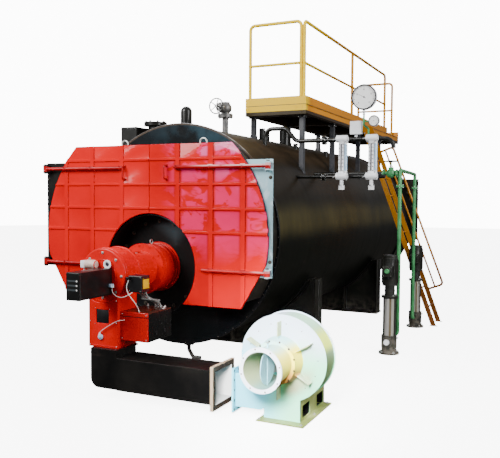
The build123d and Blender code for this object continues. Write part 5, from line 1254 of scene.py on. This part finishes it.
def duct_fittings():
    """Corner welds of the duct, the strip on its riser and the bolts in its end frame."""
    mesh = bmesh.new()
    bolt_grid(mesh, (DUCT_END_X,), (-2.9425, -2.5775), (0.10, 0.175, 0.25, 0.325, 0.40), RIGHT, 0.010)
    bolt_grid(mesh, (DUCT_END_X,), (-2.85, -2.76, -2.67), (0.0775, 0.4225), RIGHT, 0.010)
    made_piece("duct_frame_bolts", mesh, DARK_BOLT)
    mesh = bmesh.new()
    for y in (-2.9205, -2.5995):
        for z in (0.1005, 0.3995):
            weld_line(mesh, (0.225, y, z), (1.23, y, z), 0.0035)
    slab(mesh, (-0.095, -2.885, 0.458), (0.21, -2.555, 0.474), 0.002)
    made_piece("duct_welds", mesh, DUCT)


casing_bolts()
casing_seams()
impeller()
trestle_sheet()
damper_fittings()
fan_motor_fittings()
duct_fittings()


# Platform and ladder

RAIL_X = 1.005
RAIL_Y = -0.145
POSTS = ((RAIL_X, RAIL_Y), (RAIL_X, 1.90), (RAIL_X, 3.90), (0.27, RAIL_Y), (0.962, RAIL_Y), (0.27, 4.785),
         (0.925, 4.785))
LADDER_FOOT_X = 2.22
LADDER_COS = 0.35665
LADDER_SIN = 0.93424


def drum_height(x):
    return AXIS_Z + sqrt(SHELL_R ** 2 - x ** 2)


def rail_fittings():
    """Foot plates of the posts with their bolts, and weld collars at the rails' joints."""
    plates, bolts, collars = bmesh.new(), bmesh.new(), bmesh.new()
    for x, y in POSTS:
        slab(plates, (x - 0.038, y - 0.038, DECK_Z), (x + 0.038, y + 0.038, DECK_Z + 0.007), 0.001)
        bolt_grid(bolts, (x - 0.028, x + 0.028), (y - 0.028, y + 0.028), (DECK_Z + 0.007,), UP, 0.011)
        ring(collars, (x, y, MID_RAIL_Z), UP, RAIL_R + 0.001, 0.004, 24, 6)
    for y in (RAIL_Y + 0.024, 1.876, 1.924, 3.876):
        ring(collars, (RAIL_X, y, MID_RAIL_Z), BACK, 0.018, 0.0035, 24, 6)
    made_piece("rail_foot_plates", plates, RAIL)
    made_piece("rail_foot_bolts", bolts, ZINC)
    made_piece("rail_weld_collars", collars, RAIL)


def support_fittings():
    """Caps where the posts meet the cross members, with their welds and bolts."""
    caps, bolts = bmesh.new(), bmesh.new()
    for x, y in product((0.28, 0.95), (-0.05, 1.15, 2.45, 3.75)):
        slab(caps, (x - 0.05, y - 0.05, 2.930), (x + 0.05, y + 0.05, 2.9438), 0.002)
        for edge in (y - 0.031, y + 0.031):
            weld_line(caps, (x - 0.03, edge, 2.929), (x + 0.03, edge, 2.929), 0.004)
        bolt_grid(bolts, (x - 0.038, x + 0.038), (y - 0.04, y + 0.04), (2.930,), -UP, 0.012)
    made_piece("support_caps", caps, SUPPORT)
    made_piece("support_bolts", bolts, ZINC)


def channel_lips():
    """The rolled lips along the platform's channels and the rivets on their side."""
    mesh = bmesh.new()
    for z0, z1 in ((2.9442, 2.9540), (3.0535, 3.0635)):
        for x in (0.2265, 1.0485):
            slab(mesh, (x - 0.0015, -0.188, z0), (x + 0.0015, 4.828, z1), 0.0007)
        slab(mesh, (0.227, -0.1899, z0), (1.048, -0.187, z1), 0.0007)
    made_piece("channel_lips", mesh, FRAME)
    mesh = bmesh.new()
    head_grid(mesh, (1.0498,), (0.4, 1.6, 2.9, 4.2), (2.975, 3.035), (-0.0023, 0, 0), 0.010, sides=12)
    made_piece("channel_rivets", mesh, FRAME)


def ladder_fittings():
    """Foot plates, the bolts that hang the ladder on the channel and welds at the rungs."""
    mesh, bolts = bmesh.new(), bmesh.new()
    for y in (2.22, 2.64):
        slab(mesh, (2.165, y - 0.012, 0.0), (2.275, y + 0.024, 0.006), 0.001)
        for dx in (-0.035, 0.035):
            bolt(bolts, (LADDER_FOOT_X + dx, y - 0.004, 0.006), UP, 0.010, washer=False)
    pitch = 3.27968 / 11
    for k in range(10):
        along = pitch * (k + 1)
        x, z = LADDER_FOOT_X - along * LADDER_COS + 0.012, along * LADDER_SIN
        for y in (2.2325, 2.6395):
            ring(mesh, (x, y, z), BACK, 0.0115, 0.003, 16, 6)
    for y, way in ((2.2195, -1), (2.6525, 1)):
        for along in (2.98, 3.12):
            x, z = LADDER_FOOT_X - along * LADDER_COS + 0.01, along * LADDER_SIN
            bolt(bolts, (x, y + 0.0005 * way, z), BACK * way, 0.014)
    made_piece("ladder_welds", mesh, LADDER)
    made_piece("ladder_bolts", bolts, ZINC)


rail_fittings()
support_fittings()
channel_lips()
ladder_fittings()


# Top fittings

def nozzle_bolts():
    mesh = bmesh.new()
    bolt_ring(mesh, (-0.47, -1.21, 2.792), UP, 0.112, 8, 0.020)
    bolt_ring(mesh, (MAIN_X, -0.45, 2.95), UP, 0.078, 8, 0.016)
    bolt_ring(mesh, (MAIN_X, -0.45, 2.91), -UP, 0.078, 8, 0.016)
    bolt_ring(mesh, (MAIN_X, -0.60, MAIN_Z), -BACK, 0.050, 6, 0.009)
    for x, y, top, reach in ((0.345, 0.07, 2.81, 0.040), (0.22, 0.45, 2.81, 0.060),
                             (0.33, 0.90, 2.86, 0.080)):
        bolt_ring(mesh, (x, y, top), UP, reach * 0.74, 6, 0.010)
    made_piece("nozzle_bolts", mesh, ZINC)


def small_fittings():
    """The low fittings on the drum between the platform's supports."""
    mesh = bmesh.new()
    for x, y in ((0.55, 0.75), (0.62, 1.85), (0.50, 3.10)):
        base = drum_height(x)
        rod(mesh, (x, y, base - 0.02), (x, y, base + 0.05), 0.028, sides=20)
        rod(mesh, (x, y, base + 0.05), (x, y, base + 0.075), 0.036, sides=6)
    made_piece("drum_plugs", mesh, IRON)


def instrument_box_fittings():
    """The lid's lip and its screws."""
    low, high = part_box("instrument_box")
    mesh = bmesh.new()
    slab(mesh, (low.x - 0.004, low.y - 0.004, high.z - 0.028),
         (high.x + 0.004, high.y + 0.004, high.z - 0.022), 0.001)
    made_piece("instrument_box_lip", mesh, BLACK)
    mesh = bmesh.new()
    head_grid(mesh, (low.x + 0.02, high.x - 0.02), (low.y + 0.02, high.y - 0.02), (high.z,), (0, 0, 0.004),
              0.006, 0.005)
    made_piece("instrument_box_screws", mesh, DARK_BOLT)


def valve_fittings():
    """The main valve's gland nut and wheel washer, and the feed line's nuts, bolts and bonnet."""
    mesh = bmesh.new()
    rod(mesh, (MAIN_X, -0.60, MAIN_Z), (MAIN_X, -0.622, MAIN_Z), 0.024, sides=6)
    made_piece("main_valve_gland", mesh, STEEL)
    mesh = bmesh.new()
    rod(mesh, (MAIN_X, -0.709, MAIN_Z), (MAIN_X, -0.706, MAIN_Z), 0.019, sides=20)
    made_piece("main_wheel_washer", mesh, STEEL, body="main_wheel")
    mesh = bmesh.new()
    rod(mesh, (FEED_X, FEED_Y, 2.295), (FEED_X, FEED_Y, 2.318), 0.022, sides=6)
    bolt_ring(mesh, (1.885, FEED_Y, 2.22), -RIGHT, 0.043, 6, 0.009)
    bolt_ring(mesh, (2.067, FEED_Y, 2.22), RIGHT, 0.043, 6, 0.009)
    for x, y in ((2.10, FEED_Y), (1.975, 1.864)):
        bolt_ring(mesh, (x, y, 2.0745), UP, 0.038, 4, 0.010)
        bolt_ring(mesh, (x, y, 2.0460), -UP, 0.038, 4, 0.010)
    made_piece("feed_line_bolts", mesh, ZINC)
    mesh = bmesh.new()
    turned(mesh, [(0.0, 0.0), (0.037, 0.0), (0.037, 0.012), (0.030, 0.03), (0.026, 0.052), (0.0, 0.052)],
           (FEED_X, FEED_Y, 2.244), UP, 28)
    made_piece("feed_valve_bonnet", mesh, STAINLESS)


nozzle_bolts()
small_fittings()
instrument_box_fittings()
valve_fittings()


# Water side

GAUGE_XS = (1.62, 1.97)
GAUGE_Y = -0.52
COCK_ZS = (2.16, 2.59)
GAUGE_FRONT = -0.551


def gauge_fittings():
    """Cover bolts beside the slit, the cocks' nuts and levers, the drain nuts and the glasses."""
    bolts, levers, glass, heads = bmesh.new(), bmesh.new(), bmesh.new(), bmesh.new()
    for x in GAUGE_XS:
        bolt_grid(heads, (x - 0.022, x + 0.022), (GAUGE_FRONT,), [2.225 + k * 0.0433 for k in range(8)],
                  -BACK, 0.011, False)
        slab(glass, (x - 0.0075, GAUGE_FRONT + 0.008, 2.222), (x + 0.0075, GAUGE_FRONT + 0.0138, 2.528))
        for z in COCK_ZS:
            for way in (-1, 1):
                rod(bolts, (x + way * 0.062, GAUGE_Y, z), (x + way * 0.070, GAUGE_Y, z), 0.030, sides=6)
            rod(levers, (x - 0.070, GAUGE_Y, z), (x - 0.086, GAUGE_Y, z), 0.010, sides=14)
            rod(levers, (x - 0.080, GAUGE_Y, z), (x - 0.080, GAUGE_Y - 0.085, z - 0.012), 0.0055, 0.008, 12)
        rod(levers, (x, GAUGE_Y, 2.062), (x, GAUGE_Y - 0.070, 2.055), 0.005, 0.0075, 12)
        for z in (2.095, 2.075):
            ring(bolts, (x, GAUGE_Y, z), UP, 0.021, 0.004, 24, 8)
    made_piece("gauge_nuts", bolts, ENAMEL)
    made_piece("gauge_bolts", heads, VALVE)
    made_piece("gauge_levers", levers, STEEL)
    made_piece("gauge_slit_glass", glass, DARK_GLASS)
    mesh = bmesh.new()
    for x in GAUGE_XS:
        slab(mesh, (x + 0.0475, GAUGE_Y - 0.0185, 2.215), (x + 0.0495, GAUGE_Y - 0.013, 2.535))
        turned(mesh, [(0.0165, 0.0), (0.0172, 0.0), (0.0172, 0.300), (0.0165, 0.300), (0.0165, 0.0)],
               (x + 0.048, GAUGE_Y, 2.225), UP, 24)
    made_piece("gauge_tube_glass", mesh, TUBE_GLASS)


def dial(name, x, y, z, radius, marks, longest, needle_turn, figures):
    """A gauge dial: white face, ticks, figures, needle and hub."""
    face, ink = bmesh.new(), bmesh.new()
    turned(face, [(0.0, 0.0), (radius, 0.0), (radius, 0.0015), (0.0, 0.0015)], (x, y, z), -BACK, 56)
    made_piece(name + "_face", face, DIAL_FACE)
    front = y - 0.0015
    middle = Vector((x, front, z))
    for k in range(marks + 1):
        turn = radians(-135 + 270 * k / marks)
        along = spoke(turn)
        long = k % 5 == 0
        first = middle + along * radius * (0.80 if long else 0.86)
        rod(ink, first, middle + along * radius * 0.93, longest * (1.6 if long else 0.8), sides=6)
    turned(ink, [(0.0, 0.0), (radius * 0.07, 0.0), (radius * 0.05, 0.003), (0.0, 0.003)], (x, front, z),
           -BACK, 20)
    along = spoke(radians(needle_turn))
    centre = Vector((x, front - 0.002, z))
    rod(ink, centre - along * radius * 0.18, centre + along * radius * 0.78, longest * 1.5, longest * 0.5, 8)
    made_piece(name + "_marks", ink, INK)
    for k, figure in enumerate(figures):
        turn = radians(-135 + 270 * k / (len(figures) - 1))
        text = bpy.data.curves.new(name + "_figure", "FONT")
        text.body = figure
        text.size = radius * 0.20
        text.align_x, text.align_y = "CENTER", "CENTER"
        text.extrude = 0.0004
        holder = bpy.data.objects.new(name + "_figure", text)
        data = bpy.data.meshes.new_from_object(holder)
        bpy.data.objects.remove(holder)
        spot = middle + spoke(turn) * radius * 0.66
        data.transform(Matrix.Translation(spot) @ Matrix.Rotation(radians(90), 4, "X"))
        data.materials.clear()
        data.materials.append(INK.material)
        piece = linked(f"{name}_figure_{k}", data)
        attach(piece, "boiler")


def dial_rims():
    """Dark rims round the gauge cases, and the stem nuts."""
    mesh = bmesh.new()
    for x, y, z, radius, bar in ((DIAL_X, -0.4950, DIAL_Z, 0.1375, 0.007),
                                 (SMALL_X, -0.5132, SMALL_Z, 0.0585, 0.004)):
        ring(mesh, (x, y, z), BACK, radius, bar, 64, 8)
    made_piece("gauge_rims", mesh, INK)
    mesh = bmesh.new()
    rod(mesh, (DIAL_X, DIAL_Y, 2.885), (DIAL_X, DIAL_Y, 2.905), 0.019, sides=6)
    rod(mesh, (DIAL_X, DIAL_Y, 2.862), (DIAL_X, DIAL_Y, 2.874), 0.017, sides=6)
    rod(mesh, (1.972, DIAL_Y, SMALL_Z), (1.984, DIAL_Y, SMALL_Z), 0.013, sides=6)
    made_piece("gauge_stem_nuts", mesh, STEEL)


def header_bolts():
    mesh = bmesh.new()
    for reach, z, across in ((0.043, COCK_ZS[1], 0.012), (0.034, COCK_ZS[0], 0.010)):
        for x, way in ((1.35, -1), (1.3863, 1)):
            bolt_ring(mesh, (x, -0.41, z), RIGHT * way, reach, 6, across)
    made_piece("header_bolts", mesh, ZINC)


PUMPS = ((2.04, 0.16), (1.975, 2.06))


def pump_fittings():
    """Foot and port bolts, stage rings on the sleeve, motor fins, cowl slots and terminal lids."""
    bolts, rings, fins, dark = bmesh.new(), bmesh.new(), bmesh.new(), bmesh.new()
    for x, y in PUMPS:
        bolt_ring(bolts, (x, y, 0.022), UP, 0.109, 4, 0.022, 0.785)
        for way in (-1, 1):
            bolt_ring(bolts, (x, y + way * 0.118, 0.16), -BACK * way, 0.050, 4, 0.014, 0.785)
        for k in range(4):
            turn = radians(45 + 90 * k)
            bolt(bolts, (x + 0.084 * cos(turn), y + 0.084 * sin(turn), 0.72), UP, 0.016)
        for k in range(13):
            turned(rings, [(0.0755, 0.0), (0.0775, 0.002), (0.0775, 0.005), (0.0755, 0.007)],
                   (x, y, 0.262 + k * 0.031), UP, 40)
        rod(bolts, (x + 0.072, y, 0.20), (x + 0.112, y, 0.20), 0.010, sides=6)
        foot = Vector((x, y, 0.875))
        for turn in around(30):
            wide = Vector((cos(turn), sin(turn), 0))
            if wide.y >= -0.75:
                fin(fins, foot + wide * 0.0935, foot + wide * 0.1015, Vector((-wide.y, wide.x, 0)) * 0.0015,
                    (0, 0, 0.285))
        for k in range(4):
            ring(dark, (x, y, 1.2150), UP, 0.018 + 0.018 * k, 0.0024, 32, 6)
        low = Vector((x - 0.058, y - 0.1515, 0.962))
        slab(fins, low, low + Vector((0.116, 0.004, 0.126)), 0.0015)
        head_grid(bolts, (low.x + 0.012, low.x + 0.104), (low.y,), (low.z + 0.012, low.z + 0.114),
                  (0, -0.004, 0), 0.005, 0.004)
        rod(dark, (x, y - 0.105, 0.960), (x, y - 0.105, 0.935), 0.012, sides=12)
        centre = Vector((x, y, 0.78))
        for turn in around(6):
            wide = Vector((cos(turn), sin(turn), 0))
            rod(dark, centre + wide * 0.060, centre + wide * 0.0635, 0.016, sides=12)
    made_piece("pump_bolts", bolts, ZINC)
    made_piece("pump_stage_rings", rings, STAINLESS)
    made_piece("pump_motor_fins", fins, IRON)
    made_piece("pump_dark_slots", dark, INK)
    mesh = bmesh.new()
    x, y = PUMPS[0]
    rod(mesh, (x, y - 0.1365, 0.16), (x, y - 0.150, 0.16), 0.036, 0.033, 28)
    made_piece("pump_port_cap", mesh, ENAMEL)
    mesh = bmesh.new()
    turned(mesh, [(0.0, 0.0), (0.026, 0.0), (0.030, 0.006), (0.030, 0.020), (0.024, 0.028), (0.0, 0.028)],
           (x, y - 0.1515, 1.03), -BACK, 28)
    made_piece("pump_green_knob", mesh, GREEN)


def drain_fittings():
    mesh = bmesh.new()
    bolt_ring(mesh, (0.02, -1.25, 0.190), -UP, 0.047, 4, 0.012)
    made_piece("drain_bolts", mesh, ZINC)


gauge_fittings()
dial("main_dial", DIAL_X, -0.4832, DIAL_Z, 0.1335, 40, 0.0012, -62.0, ("0", "4", "8", "12", "16"))
dial("small_dial", SMALL_X, -0.5056, SMALL_Z, 0.0545, 20, 0.0006, -95.0, ("0", "10", "20"))
dial_rims()
header_bolts()
pump_fittings()
drain_fittings()


# Camera, light and floor

FOCAL_PIXELS = 671.665
PHOTO_WIDTH = 500.0


def stage_piece(name, mesh, paint, glow, unseen):
    """A piece of the stage that glows white, left out of some kinds of ray."""
    data = settled(name, mesh)
    paint.shader.inputs["Emission Color"].default_value = (1.0, 1.0, 1.0, 1.0)
    paint.shader.inputs["Emission Strength"].default_value = glow
    data.materials.append(paint.material)
    piece = linked(name, data)
    for ray in unseen:
        setattr(piece, "visible_" + ray, False)


def stage_floor():
    mesh = bmesh.new()
    bmesh.ops.create_grid(mesh, x_segments=1, y_segments=1, size=40.0)
    paint = Paint("pale_floor", 0.75)
    tone = paint.noise(0.6, 2.0)
    paint.feed("Base Color", paint.mix(tone, (0.86, 0.86, 0.86), (0.90, 0.90, 0.90)))
    stage_piece("floor", mesh, paint, 7.0, ("diffuse", "glossy"))


def soft_light(name, place, target, size, power, spread=180.0):
    lamp = bpy.data.lights.new(name, "AREA")
    lamp.shape = "RECTANGLE"
    lamp.size, lamp.size_y = size
    lamp.energy = power
    lamp.spread = radians(spread)
    made = linked(name, lamp)
    aim = Vector(target) - Vector(place)
    made.location = place
    made.rotation_euler = aim.to_track_quat("-Z", "Y").to_euler()


def photo_camera():
    """The photograph's viewpoint, worked out from the drum's rings and long lines."""
    yaw, pitch, roll = radians(25.182), radians(2.678), radians(0.382)
    ahead = Vector((-sin(yaw) * cos(pitch), cos(yaw) * cos(pitch), -sin(pitch)))
    level = Vector((cos(yaw), sin(yaw), 0.0))
    upward = level.cross(ahead)
    across = level * cos(roll) + upward * sin(roll)
    up = upward * cos(roll) - level * sin(roll)
    lens = bpy.data.cameras.new("photo_camera")
    lens.sensor_width = 36.0
    lens.lens = lens.sensor_width * FOCAL_PIXELS / PHOTO_WIDTH
    lens.clip_end = 200.0
    camera = linked("photo_camera", lens)
    camera.matrix_world = Matrix((across, up, -ahead)).transposed().to_4x4()
    camera.location = (3.975, -8.005, 1.908)
    bpy.context.scene.camera = camera


def white_dome():
    """A white surround that only the camera sees."""
    mesh = bmesh.new()
    bmesh.ops.create_uvsphere(mesh, u_segments=24, v_segments=12, radius=38.0)
    bmesh.ops.reverse_faces(mesh, faces=mesh.faces)
    paint = Paint("surround_white", 1.0)
    paint.shader.inputs["Base Color"].default_value = (0.0, 0.0, 0.0, 1.0)
    unseen = ("diffuse", "glossy", "transmission", "shadow", "volume_scatter")
    stage_piece("surround", mesh, paint, 12.0, unseen)


def studio_sky():
    """A sky that is dark below the horizon, so that the drum's underside stays black."""
    world = bpy.data.worlds.new("studio")
    world.use_nodes = True
    tree = world.node_tree
    place = tree.nodes.new("ShaderNodeTexCoord")
    split = tree.nodes.new("ShaderNodeSeparateXYZ")
    rise = tree.nodes.new("ShaderNodeMapRange")
    rise.inputs["From Min"].default_value, rise.inputs["From Max"].default_value = -0.15, 0.9
    blend = tree.nodes.new("ShaderNodeMix")
    blend.data_type = "RGBA"
    blend.inputs[6].default_value = (0.10, 0.095, 0.085, 1.0)
    blend.inputs[7].default_value = (0.95, 0.97, 1.0, 1.0)
    sky = tree.nodes["Background"]
    sky.inputs["Strength"].default_value = 0.8
    for start, end in ((place.outputs["Generated"], split.inputs[0]),
                       (split.outputs["Z"], rise.inputs["Value"]),
                       (rise.outputs["Result"], blend.inputs[0]), (blend.outputs[2], sky.inputs["Color"])):
        tree.links.new(start, end)
    bpy.context.scene.world = world


stage_floor()
white_dome()
photo_camera()
studio_sky()
soft_light("key", (-3.5, -8.5, 7.0), (0.5, 0.0, 1.5), (5.0, 5.0), 1300.0)
soft_light("right_fill", (8.5, -3.0, 4.5), (1.0, 1.0, 1.5), (4.0, 6.0), 700.0)
soft_light("fan_light", (2.6, -6.4, 2.4), (1.8, -2.8, 0.4), (1.0, 1.0), 48.0, 34.0)
